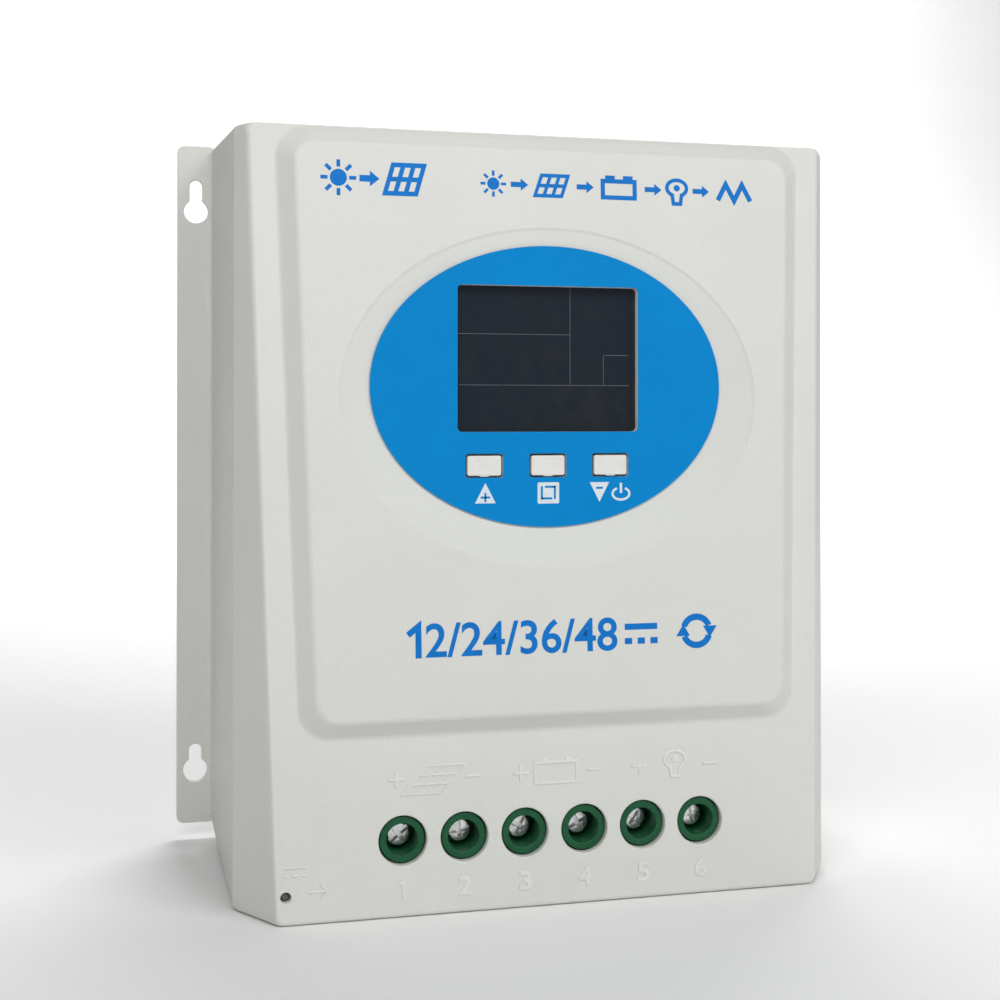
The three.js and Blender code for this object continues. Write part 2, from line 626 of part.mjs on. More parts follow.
// Each transistor lies on the base's pad, with three legs up to the main board.
MOSFETS_X.forEach((x, i) => {
  const { z, width, height, thickness } = MOSFET;
  const rear = PAD.to + GAP;
  const low = z - height / 2;
  let body = plate({ x, z, width, height }, 0.6, rear, rear + thickness);
  body = cut(body, rod(x, z + height * 0.28, 1.8, rear - 1, rear + thickness + 1, 16));
  for (const side of [-1, 0, 1]) {
    const legX = x + side * 5.45;
    body = join(
      body,
      box(legX - 0.6, legX + 0.6, rear + 2, rear + 2.6, low - 3, low + 1),
      box(legX - 0.6, legX + 0.6, rear + 2, RAIL_TIP, low - 3, low - 2.4),
    );
  }
  piece(`mosfet_${i + 1}`, body, "black");
});

function usbSocket() {
  const { x, width, depth, bottom, length, wall } = USB;
  const half = width / 2;
  const inner = half - wall;
  const front = ON_BOARD + depth;
  const middle = ON_BOARD + depth / 2;
  return join(
    cut(
      box(x - half, x + half, ON_BOARD, front, bottom, bottom + length),
      box(x - inner, x + inner, ON_BOARD + wall, front - wall, bottom - 1, bottom + length - 2),
    ),
    box(x - 1, x + 0.8, middle - 5.5, middle + 5.5, bottom + 2, bottom + length - 1),
  );
}

piece("usb_socket", usbSocket(), "steel");

function statusLight() {
  const { x, z, pipe } = LED;
  return join(
    rod(x, z, pipe, ON_BOARD, frontDepth(z) - WALL / 2, 16),
    rod(x, z, 2, ON_BOARD, ON_BOARD + 3, 16),
  );
}

piece("status_light_pipe", statusLight(), "pipe");

// The flat cable loops from a plug on the display board to one on the main board.
function ribbonCable() {
  const { x, z, width, thickness } = RIBBON;
  const middle = (ON_BOARD + DISPLAY_REAR - GAP) / 2;
  const loop = middle - ON_BOARD - RIBBON.plug;
  const bend = new THREE.Shape();
  const turn = 8; // straight run between a plug and the bend
  const outer = loop + thickness / 2;
  const inner = loop - thickness / 2;
  bend.moveTo(0, -outer);
  bend.lineTo(turn, -outer);
  bend.absarc(turn, 0, outer, -Math.PI / 2, Math.PI / 2, false);
  bend.lineTo(0, outer);
  bend.lineTo(0, inner);
  bend.lineTo(turn, inner);
  bend.absarc(turn, 0, inner, Math.PI / 2, -Math.PI / 2, true);
  bend.lineTo(0, -inner);
  const strip = new THREE.ExtrudeGeometry(bend, { depth: width, bevelEnabled: false, curveSegments: 10 });
  // The shape's x runs up, its y runs out from the wall, and it is extruded across.
  strip.applyMatrix4(new THREE.Matrix4().set(
    0, 0, 1, x - width / 2,
    0, -1, 0, -middle,
    1, 0, 0, z,
    0, 0, 0, 1,
  ));
  const plug = (from, to) => box(x - width / 2 - 2, x + width / 2 + 2, from, to, z - 6, z + 1);
  return join(
    solid(strip),
    plug(ON_BOARD, middle - inner + 1),
    plug(middle + inner - 1, DISPLAY_REAR - GAP),
  );
}

piece("ribbon_cable", ribbonCable(), "frame");

// ---------------------------------------------------------------------------------------------
// Aluminium base: the back plate with its fins, its pad and the two rails under the main board
// ---------------------------------------------------------------------------------------------

function rib(x, thickness, tip) {
  const half = thickness / 2;
  return box(x - half, x + half, PLATE_THICKNESS - 1, tip, RIB_BOTTOM, RIB_TOP);
}

function aluminiumBase() {
  const width = REAR_WIDTH - 2 * WALL - 2 * PLATE_CLEARANCE;
  const height = REAR_HEIGHT - 2 * WALL - 2 * PLATE_CLEARANCE;
  let base = plate({ x: 0, z: 0, width, height }, CORNER_RADIUS, 0, PLATE_THICKNESS);
  for (const x of FINS_X) {
    base = join(base, rib(x, FIN_THICKNESS, FIN_TIP), rib(-x, FIN_THICKNESS, FIN_TIP));
  }
  for (const x of PAD_LEGS_X) {
    base = join(base, rib(x, FIN_THICKNESS, PAD.from + 1));
  }
  base = join(base, box(-PAD.halfWidth, PAD.halfWidth, PAD.from, PAD.to, RIB_BOTTOM, RIB_TOP));
  for (const side of [-1, 1]) {
    const x = side * RAIL.x;
    const half = RAIL.slot / 2;
    const floor = RAIL_TIP - RAIL.slotDepth;
    base = join(base, rib(x, RAIL.width, RAIL_TIP));
    base = cut(base, box(x - half, x + half, floor, RAIL_TIP + 1, RIB_BOTTOM - 1, RIB_TOP + 1));
  }
  for (const [sx, sz] of [[-1, -1], [1, -1], [-1, 1], [1, 1]]) {
    const [x, z] = [sx * CASE_SCREW.x, sz * CASE_SCREW.z];
    base = cut(
      base,
      rod(x, z, CASE_SCREW_RADIUS + GAP, -1, PLATE_THICKNESS + 1, 16),
      rod(x, z, CASE_SCREW_HEAD.radius + SNUG, -1, CASE_SCREW_HEAD.to + GAP, 20),
    );
  }
  return base;
}

piece("aluminium_base", aluminiumBase(), "aluminium");

[[-1, 1], [1, 1], [-1, -1], [1, -1]].forEach(([sx, sz], i) => {
  const { radius, from, to } = CASE_SCREW_HEAD;
  const screw = panScrew(
    sx * CASE_SCREW.x, sz * CASE_SCREW.z, CASE_SCREW_RADIUS, radius, to - from, to, 14, -1,
  );
  piece(`case_screw_${i + 1}`, screw, "zinc");
});

export default controller;
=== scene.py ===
"""Looks of the wall-mounted solar charge controller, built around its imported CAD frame.

Lengths are in millimetres until a mesh is made. A point is (x, depth, z): x runs to the right, z
runs up, and depth is the distance in front of the wall plane, so that y = -depth.
"""

from math import asin, cos, hypot, pi, radians, sin

import bmesh
import bpy
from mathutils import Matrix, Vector
from mathutils.geometry import delaunay_2d_cdt


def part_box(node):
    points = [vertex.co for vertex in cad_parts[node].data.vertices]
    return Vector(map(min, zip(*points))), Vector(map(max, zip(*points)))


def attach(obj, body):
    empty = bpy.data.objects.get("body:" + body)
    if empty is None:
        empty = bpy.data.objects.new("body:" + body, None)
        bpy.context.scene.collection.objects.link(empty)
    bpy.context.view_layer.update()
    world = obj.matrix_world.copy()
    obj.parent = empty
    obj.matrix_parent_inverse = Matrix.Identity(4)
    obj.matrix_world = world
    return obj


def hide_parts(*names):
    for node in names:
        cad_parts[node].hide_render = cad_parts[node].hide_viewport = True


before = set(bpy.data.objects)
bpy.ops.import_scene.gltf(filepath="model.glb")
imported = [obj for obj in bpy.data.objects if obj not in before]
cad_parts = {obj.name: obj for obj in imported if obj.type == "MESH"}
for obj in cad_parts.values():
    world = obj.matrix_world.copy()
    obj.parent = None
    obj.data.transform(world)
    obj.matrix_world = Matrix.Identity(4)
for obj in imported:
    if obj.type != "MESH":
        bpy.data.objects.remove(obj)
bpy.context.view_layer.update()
scene = bpy.context.scene
scene.view_settings.view_transform = "Standard"

MM = 0.001
BODY = "case"

# ---- Camera ----

camera_data = bpy.data.cameras.new("camera")
camera_data.lens = 54.3
camera_data.sensor_width = 36.0
camera_data.shift_y = -0.095
camera_data.clip_start = 0.01
camera = bpy.data.objects.new("camera", camera_data)
camera.location = (-0.1303, -0.5515, 0.02395)
camera.rotation_euler = Vector((0.24354, 0.96986, 0.00776)).to_track_quat("-Z", "Y").to_euler()
scene.collection.objects.link(camera)
scene.camera = camera

# ---- Sizes that the frame's boxes don't give ----

WALL = 3.0
FLANGE_REACH = 12.0
FLANGE_THICKNESS = 2.5
SIDE_DRAFT = 1.6
SHOULDER_DEPTH = 86.7
SHOULDER_SLOPE = 0.622
TOP_FALL = 7.75
TOP_EDGE_DEPTH = 92.5
BOTTOM_EDGE_DEPTH = 105.5
CORNER_RADIUS = 2.2
PANEL_MARGIN = 8.4
PANEL_TOP_MARGIN = 0.4
PANEL_RISE_ABOVE_BOTTOM = 53.8
PANEL_HEIGHT = 4.7
PANEL_BEVEL = 5.3
PANEL_CORNER = 9.0
DISH_GROWTH_X = 10.5
DISH_GROWTH_Z = 9.0
DISH_SHIFT_X = 0.7
DISH_SHIFT_Z = -3.2
DISH_WALL = 2.2
DISH_STEP = 0.45
GAP = 0.3
COLLAR_RADIUS = 6.95
COLLAR_RECESS = 1.4
COLLAR_BORE = 4.75
COLLAR_SLIT = 0.43
SCREW_HEAD_RADIUS = 3.5
SCREW_HEAD_THICKNESS = 2.9
SCREW_RADIUS = 2.4
THREAD_PITCH = 0.8
HAIR = 0.002  # keeps the rounding of coordinates inside the CAD box


def extent(node):
    """A node's box as (x0, x1), (depth0, depth1), (z0, z1)."""
    low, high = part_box(node)
    return (
        (low[0] / MM, high[0] / MM),
        (-high[1] / MM, -low[1] / MM),
        (low[2] / MM, high[2] / MM),
    )


def middle(pair):
    return (pair[0] + pair[1]) / 2


def half(pair):
    return (pair[1] - pair[0]) / 2


def centre_of(node):
    """The middle of a node's box as (x, z)."""
    x_span, _, z_span = extent(node)
    return middle(x_span), middle(z_span)


case_x, _, case_z = extent("front_case")
REAR_HALF_WIDTH = case_x[1] - FLANGE_REACH
REAR_HALF_HEIGHT = case_z[1]
FRONT_TOP = REAR_HALF_HEIGHT - TOP_FALL
FRONT_BOTTOM = case_z[0] + HAIR
LEAN = (BOTTOM_EDGE_DEPTH - TOP_EDGE_DEPTH) / (FRONT_TOP - FRONT_BOTTOM)


def front_depth(z):
    return TOP_EDGE_DEPTH + (FRONT_TOP - z) * LEAN


def panel_depth(z):
    return front_depth(z) + PANEL_HEIGHT


def front_half_width(z):
    return REAR_HALF_WIDTH - SIDE_DRAFT - SHOULDER_SLOPE * (front_depth(z) - SHOULDER_DEPTH)


# ---- Materials ----


def linear(*srgb):
    """A colour given as 0-255 sRGB."""
    channels = [((c / 255 + 0.055) / 1.055) ** 2.4 if c > 10 else c / 255 / 12.92 for c in srgb]
    return (*channels, 1.0)


class Look:
    """A Principled material with mottled colour, uneven roughness and a fine bumpy grain."""

    def __init__(self, name, colour, roughness, metallic=0.0, specular=0.5):
        self.material = bpy.data.materials.new(name)
        self.material.use_nodes = True
        self.tree = self.material.node_tree
        self.shader = self.tree.nodes["Principled BSDF"]
        self.set(self.shader, Base_Color=colour, Roughness=roughness, Metallic=metallic)
        self.set(self.shader, Specular_IOR_Level=specular)
        self.colour = colour
        self.roughness = roughness
        self.colour_out = None
        self.normal_out = None
        self.place = self.tree.nodes.new("ShaderNodeTexCoord").outputs["Object"]

    @staticmethod
    def set(node, **values):
        """Sets sockets by name, with underscores for spaces."""
        for socket, value in values.items():
            node.inputs[socket.replace("_", " ")].default_value = value

    def link(self, source, target):
        self.tree.links.new(source, target)

    def made(self, kind, source, socket, **values):
        """A new node with a link into one of its sockets and values in others."""
        node = self.tree.nodes.new("ShaderNode" + kind)
        self.set(node, **values)
        self.link(source, node.inputs[socket])
        return node

    def noise(self, size, detail=3.0, stretch=(1, 1, 1)):
        """Noise whose blobs are about that size in mm."""
        place = self.made("Mapping", self.place, "Vector", Scale=stretch).outputs["Vector"]
        values = {"Scale": 1 / (size * MM), "Detail": detail, "Roughness": 0.55}
        return self.made("TexNoise", place, "Vector", **values).outputs["Fac"]

    def ramp(self, source, low, high, start=0.35, end=0.65):
        values = {"From_Min": start, "From_Max": end, "To_Min": low, "To_Max": high}
        return self.made("MapRange", source, "Value", **values).outputs["Result"]

    def mottle(self, size, amount, stretch=(1, 1, 1), other=None):
        """Drifts the colour towards a darker one, or towards another colour."""
        darker = tuple(c * (1 - amount) for c in self.colour[:3]) + (1.0,)
        share = self.ramp(self.noise(size, stretch=stretch), 0.0, amount if other else 1.0)
        return self.paint(share, other or darker)

    def paint(self, share, colour):
        """Lays a colour over the present one where share is 1."""
        mix = self.tree.nodes.new("ShaderNodeMix")
        mix.data_type = "RGBA"
        mix.inputs["A"].default_value = self.colour
        mix.inputs["B"].default_value = colour
        if self.colour_out:
            self.link(self.colour_out, mix.inputs["A"])
        self.link(share, mix.inputs["Factor"])
        self.colour_out = mix.outputs["Result"]
        self.link(self.colour_out, self.shader.inputs["Base Color"])
        return self

    def gloss(self, size, spread, stretch=(1, 1, 1)):
        """Makes the roughness uneven."""
        low = max(self.roughness - spread, 0.02)
        result = self.ramp(self.noise(size, stretch=stretch), low, self.roughness + spread)
        self.link(result, self.shader.inputs["Roughness"])
        return self

    def bump(self, height, depth_mm, strength=1.0):
        node = self.made("Bump", height, "Height", Distance=depth_mm * MM, Strength=strength)
        if self.normal_out:
            self.link(self.normal_out, node.inputs["Normal"])
        self.normal_out = node.outputs["Normal"]
        self.link(self.normal_out, self.shader.inputs["Normal"])
        return self

    def grain(self, size, depth_mm, stretch=(1, 1, 1), strength=1.0):
        return self.bump(self.noise(size, detail=2.0, stretch=stretch), depth_mm, strength)

    def coat(self, weight, roughness):
        self.set(self.shader, Coat_Weight=weight, Coat_Roughness=roughness)
        return self


def circuit_look():
    """Green solder mask with copper tracks under it, from a grid of bricks and cells."""
    look = Look("circuit_board", linear(22, 84, 48), 0.32)
    turn = look.made("Mapping", look.place, "Vector", Rotation=(pi / 2, 0, 0))
    brick = look.made("TexBrick", turn.outputs["Vector"], "Vector", Scale=1 / (9 * MM))
    look.set(brick, Mortar_Size=0.045, Mortar=(0, 0, 0, 1))
    look.set(brick, Color1=(1, 1, 1, 1), Color2=(0.75, 0.75, 0.75, 1))
    look.mottle(14, 0.3)
    look.paint(look.ramp(brick.outputs["Fac"], 0.0, 0.8, 0.4, 0.6), linear(58, 132, 76))
    cells = look.made("TexVoronoi", look.place, "Vector", Scale=1 / (6 * MM))
    look.paint(look.ramp(cells.outputs["Distance"], 1.0, 0.0, 0.14, 0.18), linear(196, 188, 168))
    look.bump(brick.outputs["Fac"], 0.03, 0.6)
    look.grain(0.6, 0.01)
    return look.material


def simple(name, srgb, roughness, spots, grain, gloss, **kind):
    """A material with mottle (size, amount), grain (size, depth) and gloss (size, spread)."""
    look = Look(name, linear(*srgb), roughness, **kind)
    return look.mottle(*spots).grain(*grain).gloss(*gloss).material


# The raised marks are the case plastic made a little lighter: a painted highlight for the light
# that the raised strokes catch.
MARK = (
    Look("raised_mark_plastic", linear(228, 230, 225), 0.42, specular=0.45)
    .mottle(9, 0.03)
    .gloss(2.5, 0.05)
    .grain(0.6, 0.01, strength=0.5)
).material
CASE = (
    Look("case_plastic", linear(223, 224, 219), 0.52, specular=0.42)
    .mottle(34, 0.025)
    .mottle(0.8, 0.22, other=linear(206, 208, 201))
    .gloss(2.5, 0.06)
    .grain(0.5, 0.04, strength=0.7)
    .grain(7.0, 0.02, strength=0.35)
).material
LABEL = (
    Look("label_film", linear(0, 134, 207), 0.6, specular=0.1)
    .mottle(22, 0.05)
    .mottle(0.9, 0.25, other=linear(2, 144, 214))
    .gloss(4, 0.05)
    .grain(0.4, 0.008, strength=0.5)
).material
PRINT = simple(
    "blue_print", (0, 120, 206), 0.5, (3, 0.12), (0.5, 0.012), (1, 0.05), specular=0.2,
)
WHITE_PRINT = simple("white_print", (222, 232, 238), 0.45, (2, 0.05), (0.4, 0.01), (1, 0.05))
# The screen glass's lighter warm grey patches are painted reflection laid over its dark colour.
GLASS = (
    Look("screen_glass", linear(34, 42, 51), 0.09, specular=0.5)
    .mottle(26, 0.35, other=linear(54, 52, 54))
    .mottle(6, 0.06)
    .gloss(12, 0.025)
    .grain(30, 0.01, strength=0.2)
    .coat(0.25, 0.04)
).material
SEGMENT = simple("segment_line", (88, 94, 100), 0.3, (2, 0.15), (0.5, 0.005), (2, 0.05))
WHITE_PLASTIC = simple("white_plastic", (228, 228, 222), 0.5, (8, 0.04), (0.4, 0.01), (3, 0.06))
KEY = (
    Look("key_plastic", linear(232, 232, 228), 0.38)
    .mottle(5, 0.04)
    .mottle(0.7, 0.3, other=linear(226, 226, 220))
    .grain(0.35, 0.012)
    .gloss(2, 0.06)
).material
BLACK_PLASTIC = simple("black_plastic", (26, 26, 28), 0.5, (2, 0.2), (0.3, 0.012), (2, 0.1))
TERMINAL = (
    Look("terminal_plastic", linear(12, 84, 50), 0.42, specular=0.35)
    .mottle(6, 0.15)
    .mottle(0.8, 0.3, other=linear(26, 100, 62))
    .gloss(1.5, 0.08)
    .grain(0.4, 0.02)
).material
ZINC = (
    Look("zinc_screw", linear(232, 234, 234), 0.2, metallic=1.0)
    .mottle(1.6, 0.1)
    .mottle(3, 0.15, other=linear(220, 216, 204))
    .gloss(1.6, 0.05)
    .grain(0.9, 0.002)
).material
STEEL = (
    Look("bright_steel", linear(190, 192, 195), 0.3, metallic=1.0)
    .mottle(3, 0.15)
    .gloss(2, 0.1, stretch=(1, 1, 9))
    .grain(0.3, 0.008, stretch=(1, 8, 1))
).material
COPPER = (
    Look("contact_copper", linear(206, 160, 120), 0.34, metallic=1.0)
    .mottle(2.5, 0.35, other=linear(186, 176, 160))
    .gloss(2, 0.12)
    .grain(0.25, 0.01)
).material
ALUMINIUM = (
    Look("base_aluminium", linear(196, 198, 200), 0.36, metallic=1.0)
    .mottle(1.5, 0.12, stretch=(1, 1, 0.02))
    .mottle(20, 0.15, other=linear(176, 178, 182))
    .gloss(0.8, 0.12, stretch=(1, 1, 0.03))
    .grain(0.35, 0.02, stretch=(1, 1, 0.015), strength=0.7)
).material
CLEAR = simple("clear_plastic", (104, 112, 106), 0.16, (1, 0.08), (0.6, 0.01), (1, 0.05))
SLEEVE = simple("capacitor_sleeve", (24, 26, 34), 0.3, (4, 0.2), (0.8, 0.02), (3, 0.08))
WINDING = simple(
    "copper_winding", (168, 84, 40), 0.28, (1.2, 0.3), (0.5, 0.02), (1, 0.08), specular=0.6,
)
CIRCUIT = circuit_look()

# ---- Outlines ----


def outline(half_width_at, z0, z1, radius, depth_at, steps=9):
    """A four-sided loop with round corners. Its half width and its depth may change with z."""
    loop = []
    for side, end in ((1, 1), (-1, 1), (-1, -1), (1, -1)):
        turns = range(steps + 1) if side == end else range(steps, -1, -1)
        for i in turns:
            angle = i / steps * pi / 2
            z = (z1 - radius if end > 0 else z0 + radius) + end * radius * sin(angle)
            x = side * (half_width_at(z) - radius * (1 - cos(angle)))
            loop.append(Vector((x, depth_at(z), z)))
    return loop


def around(centre, half_u, half_v, angle):
    """The place at an angle on an oval."""
    return centre[0] + half_u * cos(angle), centre[1] + half_v * sin(angle)


def oval(centre, half_u, half_v, sides=96):
    return [around(centre, half_u, half_v, 2 * pi * i / sides) for i in range(sides)]


def block(u0, u1, v0, v1, radius=0.0, steps=6):
    """A rectangle with round corners, anticlockwise."""
    if radius <= 0:
        return [(u0, v0), (u1, v0), (u1, v1), (u0, v1)]
    loop = []
    corners = ((u1, v0, -90), (u1, v1, 0), (u0, v1, 90), (u0, v0, 180))
    for u, v, start in corners:
        centre = (u + (radius if u == u0 else -radius), v + (radius if v == v0 else -radius))
        for i in range(steps + 1):
            loop.append(around(centre, radius, radius, radians(start + 90 * i / steps)))
    return loop


def pad(u, v, half_u, half_v, radius=0.0, steps=6):
    """A rectangle with round corners about a centre."""
    return block(u - half_u, u + half_u, v - half_v, v + half_v, radius, steps)


def offset(loop, distance):
    """The loop moved outwards, which is to the right of its anticlockwise way."""
    if abs(distance) < 1e-9:
        return list(loop)
    moved = []
    count = len(loop)
    for i, point in enumerate(loop):
        before, after = Vector(loop[i - 1]), Vector(loop[(i + 1) % count])
        here = Vector(point)
        first = (here - before).normalized()
        second = (after - here).normalized()
        normal = Vector((first.y, -first.x)) + Vector((second.y, -second.x))
        reach = max(normal.length_squared / 2, 0.3)
        moved.append(tuple(here + normal * (distance / reach)))
    return moved


def keyhole(x, z, radius, slot, top):
    """A round hole with a slot above it, and short slopes where they meet."""
    half_slot = slot / 2
    slope = 1.1
    start = asin((half_slot + slope) / radius)
    shoulder = z + radius * cos(start) + slope
    hole, slot_end = [], []
    for i in range(33):
        angle = pi / 2 + start + (2 * pi - 2 * start) * i / 32
        hole.append(around((x, z), radius, radius, angle))
    for i in range(13):
        slot_end.append(around((x, top - half_slot), half_slot, half_slot, pi * i / 12))
    return hole + [(x + half_slot, shoulder)] + slot_end + [(x - half_slot, shoulder)]


# ---- Soft corners along a path ----


def softened(points, widths, steps=6):
    """A path with rounded corners, each the running mean of the polyline over a width."""
    lengths = [(b - a).length for a, b in zip(points, points[1:])]
    stations = [0.0]
    sums = [Vector((0, 0, 0))]
    for (a, b), length in zip(zip(points, points[1:]), lengths):
        stations.append(stations[-1] + length)
        sums.append(sums[-1] + (a + b) / 2 * length)

    def total(at):
        """The path's integral from its start."""
        if at <= 0:
            way = (points[1] - points[0]) / lengths[0]
            return points[0] * at + way * at * at / 2
        k = max(i for i in range(len(stations)) if stations[i] <= at)
        past = at - stations[k]
        k_way = min(k, len(lengths) - 1)
        way = (points[k_way + 1] - points[k_way]) / lengths[k_way]
        return sums[k] + points[k] * past + way * past * past / 2

    path = [points[0].copy()]
    for k, width in enumerate(widths, start=1):
        low = max(stations[k] - width / 2, (stations[k - 1] + stations[k]) / 2)
        high = min(stations[k] + width / 2, (stations[k] + stations[k + 1]) / 2)
        for i in range(steps + 1):
            at = low + (high - low) * i / steps
            path.append((total(at + width / 2) - total(at - width / 2)) / width)
    path.append(points[-1].copy())
    return path


def soft_rings(loops, widths, steps=6):
    """Lofts through loops of equal length, with every lengthwise path softened."""
    paths = [softened([loop[i] for loop in loops], widths, steps) for i in range(len(loops[0]))]
    return [[path[k] for path in paths] for k in range(len(paths[0]))]


# ---- Meshes ----


def lofted(bm, rings, capped=True):
    """Adds a closed solid through rings of points in mm."""
    rows = [[bm.verts.new((p[0] * MM, -p[1] * MM, p[2] * MM)) for p in ring] for ring in rings]
    count = len(rows[0])
    for lower, upper in zip(rows, rows[1:]):
        for i in range(count):
            j = (i + 1) % count
            bm.faces.new((lower[i], lower[j], upper[j], upper[i]))
    if capped:
        bm.faces.new(rows[0][::-1])
        bm.faces.new(rows[-1])


def finish_mesh(bm, name):
    bmesh.ops.recalc_face_normals(bm, faces=bm.faces)
    mesh = bpy.data.meshes.new(name)
    bm.to_mesh(mesh)
    bm.free()
    obj = bpy.data.objects.new(name, mesh)
    scene.collection.objects.link(obj)
    return obj


def solid(name, ring_sets):
    """One object from one or more closed lofts that don't touch each other."""
    bm = bmesh.new()
    for rings in ring_sets:
        lofted(bm, rings)
    return finish_mesh(bm, name)


def wear(obj, material, angle):
    """Gives an object its material, smooth shading with sharp corners, and even normals."""
    mesh = obj.data
    mesh.materials.clear()
    mesh.materials.append(material)
    for polygon in mesh.polygons:
        polygon.use_smooth = True
        polygon.material_index = 0
    mesh.set_sharp_from_angle(angle=radians(angle))
    even = obj.modifiers.new("even_normals", "WEIGHTED_NORMAL")
    even.keep_sharp = True


def evaluated(obj):
    """The mesh of an object with its modifiers applied."""
    graph = bpy.context.evaluated_depsgraph_get()
    return bpy.data.meshes.new_from_object(obj.evaluated_get(graph))


def combined(base, others, operation):
    """Adds other solids to base, or takes them away, and removes them from the scene."""
    for other in others:
        change = base.modifiers.new("change", "BOOLEAN")
        change.operation = operation
        change.solver = "EXACT"
        change.object = other
    mesh = evaluated(base)
    base.modifiers.clear()
    base.data = mesh
    for other in others:
        bpy.data.objects.remove(other)
    return base


def place_front(u, v, w):
    """A flat outline in x and z, drawn out along the depth."""
    return (u, w, v)


def place_up(u, v, w):
    """A flat outline in x and depth, drawn out along z."""
    return (u, v, w)


def rounded_side(w0, w1, rounding, steps):
    """Pairs (inset, height) up the side of a plate whose two edges are rounded."""
    turns = [k / steps * pi / 2 for k in range(steps + 1)]
    foot = [(rounding * (1 - sin(a)), w0 + rounding * (1 - cos(a))) for a in turns]
    brim = [(rounding * (1 - cos(a)), w1 - rounding * (1 - sin(a))) for a in turns]
    return foot + brim


def prism(loop, w0, w1, rounding, steps=4):
    """Rings of a flat outline in x and z, drawn out along the depth with both edges rounded."""
    return [
        [(u, w, v) for u, v in offset(loop, -inset)]
        for inset, w in rounded_side(w0, w1, rounding, steps)
    ]


def opening(loop, level, far, rounding, out=1, place=place_front, steps=4):
    """Rings of a cutter through a wall whose outer face is level(u, v), which rounds the rim."""
    rings = []
    for clear in (3.0, 0.01):
        rings.append([place(u, v, level(u, v) + out * clear) for u, v in offset(loop, rounding)])
    for k in range(1, steps + 1):
        angle = k / steps * pi / 2
        shape = offset(loop, rounding * (1 - sin(angle)))
        drop = rounding * (1 - cos(angle))
        rings.append([place(u, v, level(u, v) - out * drop) for u, v in shape])
    rings.append([place(u, v, far) for u, v in loop])
    return rings


def revolved(centre, profile, sides=64):
    """Rings round the depth axis through centre. A profile point is (radius, depth)."""
    return [
        [(u, depth, v) for u, v in oval(centre, radius, radius, sides)] for radius, depth in profile
    ]


def rounded_profile(points, radius, steps=4):
    """A profile of (radius, depth) points with each inner corner rounded by a running mean."""
    path = [Vector((r, d, 0)) for r, d in points]
    soft = softened(path, [radius * 1.6] * (len(path) - 2), steps)
    return [(p.x, p.y) for p in soft]


def piece(obj, material, *nodes, body=BODY, angle=32):
    """Dresses an object and fixes it to a body, in place of CAD nodes where there are any."""
    wear(obj, material, angle)
    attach(obj, body)
    if nodes:
        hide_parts(*nodes)


def eased(node, width, material, body=BODY):
    """A copy of a CAD node with its straight edges bevelled, which stands for the node."""
    bm = bmesh.new()
    bm.from_mesh(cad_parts[node].data)
    bmesh.ops.remove_doubles(bm, verts=bm.verts, dist=2e-6)
    bmesh.ops.dissolve_limit(bm, angle_limit=radians(1.5), verts=bm.verts, edges=bm.edges)
    obj = finish_mesh(bm, node + "_eased")
    obj.matrix_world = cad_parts[node].matrix_world
    bevel = obj.modifiers.new("bevel", "BEVEL")
    bevel.width = width * MM
    bevel.segments = 2
    bevel.limit_method = "ANGLE"
    bevel.angle_limit = radians(40)
    bevel.use_clamp_overlap = True
    mesh = evaluated(obj)
    obj.modifiers.clear()
    obj.data = mesh
    piece(obj, material, node, body=body)


# ---- Case ----

label_x, label_depth, label_z = extent("label_overlay")
glass_x, glass_depth, glass_z = extent("lcd_glass")
LABEL_CENTRE = centre_of("label_overlay")
DISH_CENTRE = (LABEL_CENTRE[0] + DISH_SHIFT_X, LABEL_CENTRE[1] + DISH_SHIFT_Z)
LABEL_HALF = (half(label_x), half(label_z))
DISH_HALF = (LABEL_HALF[0] + DISH_GROWTH_X, LABEL_HALF[1] + DISH_GROWTH_Z)
FLOOR_DEPTH = label_depth[0] - GAP
INNER_DEPTH = FLOOR_DEPTH - DISH_WALL
SCREEN_LAP = 2.2
window_x = (glass_x[0] + SCREEN_LAP, glass_x[1] - SCREEN_LAP)
window_z = (glass_z[0] + SCREEN_LAP, glass_z[1] - SCREEN_LAP)
WINDOW = block(*window_x, *window_z, 1.5)
KEYS = ("up", "set", "down")
KEY_CENTRES = [centre_of(f"key_cap_{name}") for name in KEYS]
KEY_WIDTH, KEY_HEIGHT, KEY_GAP = 11.2, 6.6, 0.4
POLES = range(1, 7)
POLE_CENTRES = [centre_of(f"terminal_screw_{i}") for i in POLES]
LED_CENTRE = centre_of("status_light_pipe")
LED_HOLE_RADIUS = 1.6
WIRE_SLOT_DEPTHS = (65.6, 81.0)
AIR_SLOTS = 11
AIR_SLOT_PITCH = 9.0
AIR_SLOT_DEPTHS = (8.0, 36.0)
KEYHOLE_RADIUS, KEYHOLE_SLOT = 4.2, 4.4
KEYHOLE_INSET = 6.5
KEYHOLES = ((REAR_HALF_HEIGHT - 23.35, 11.2), (18.85 - REAR_HALF_HEIGHT, 9.2))
POST_RADIUS = 3.5
POST_REACH = (44.0, 36.0)
LUG_INSET = (9.0, 9.75)
LUG_HALF_WIDTH = 6.0
LUG_DEPTHS = (3.8, 24.0)


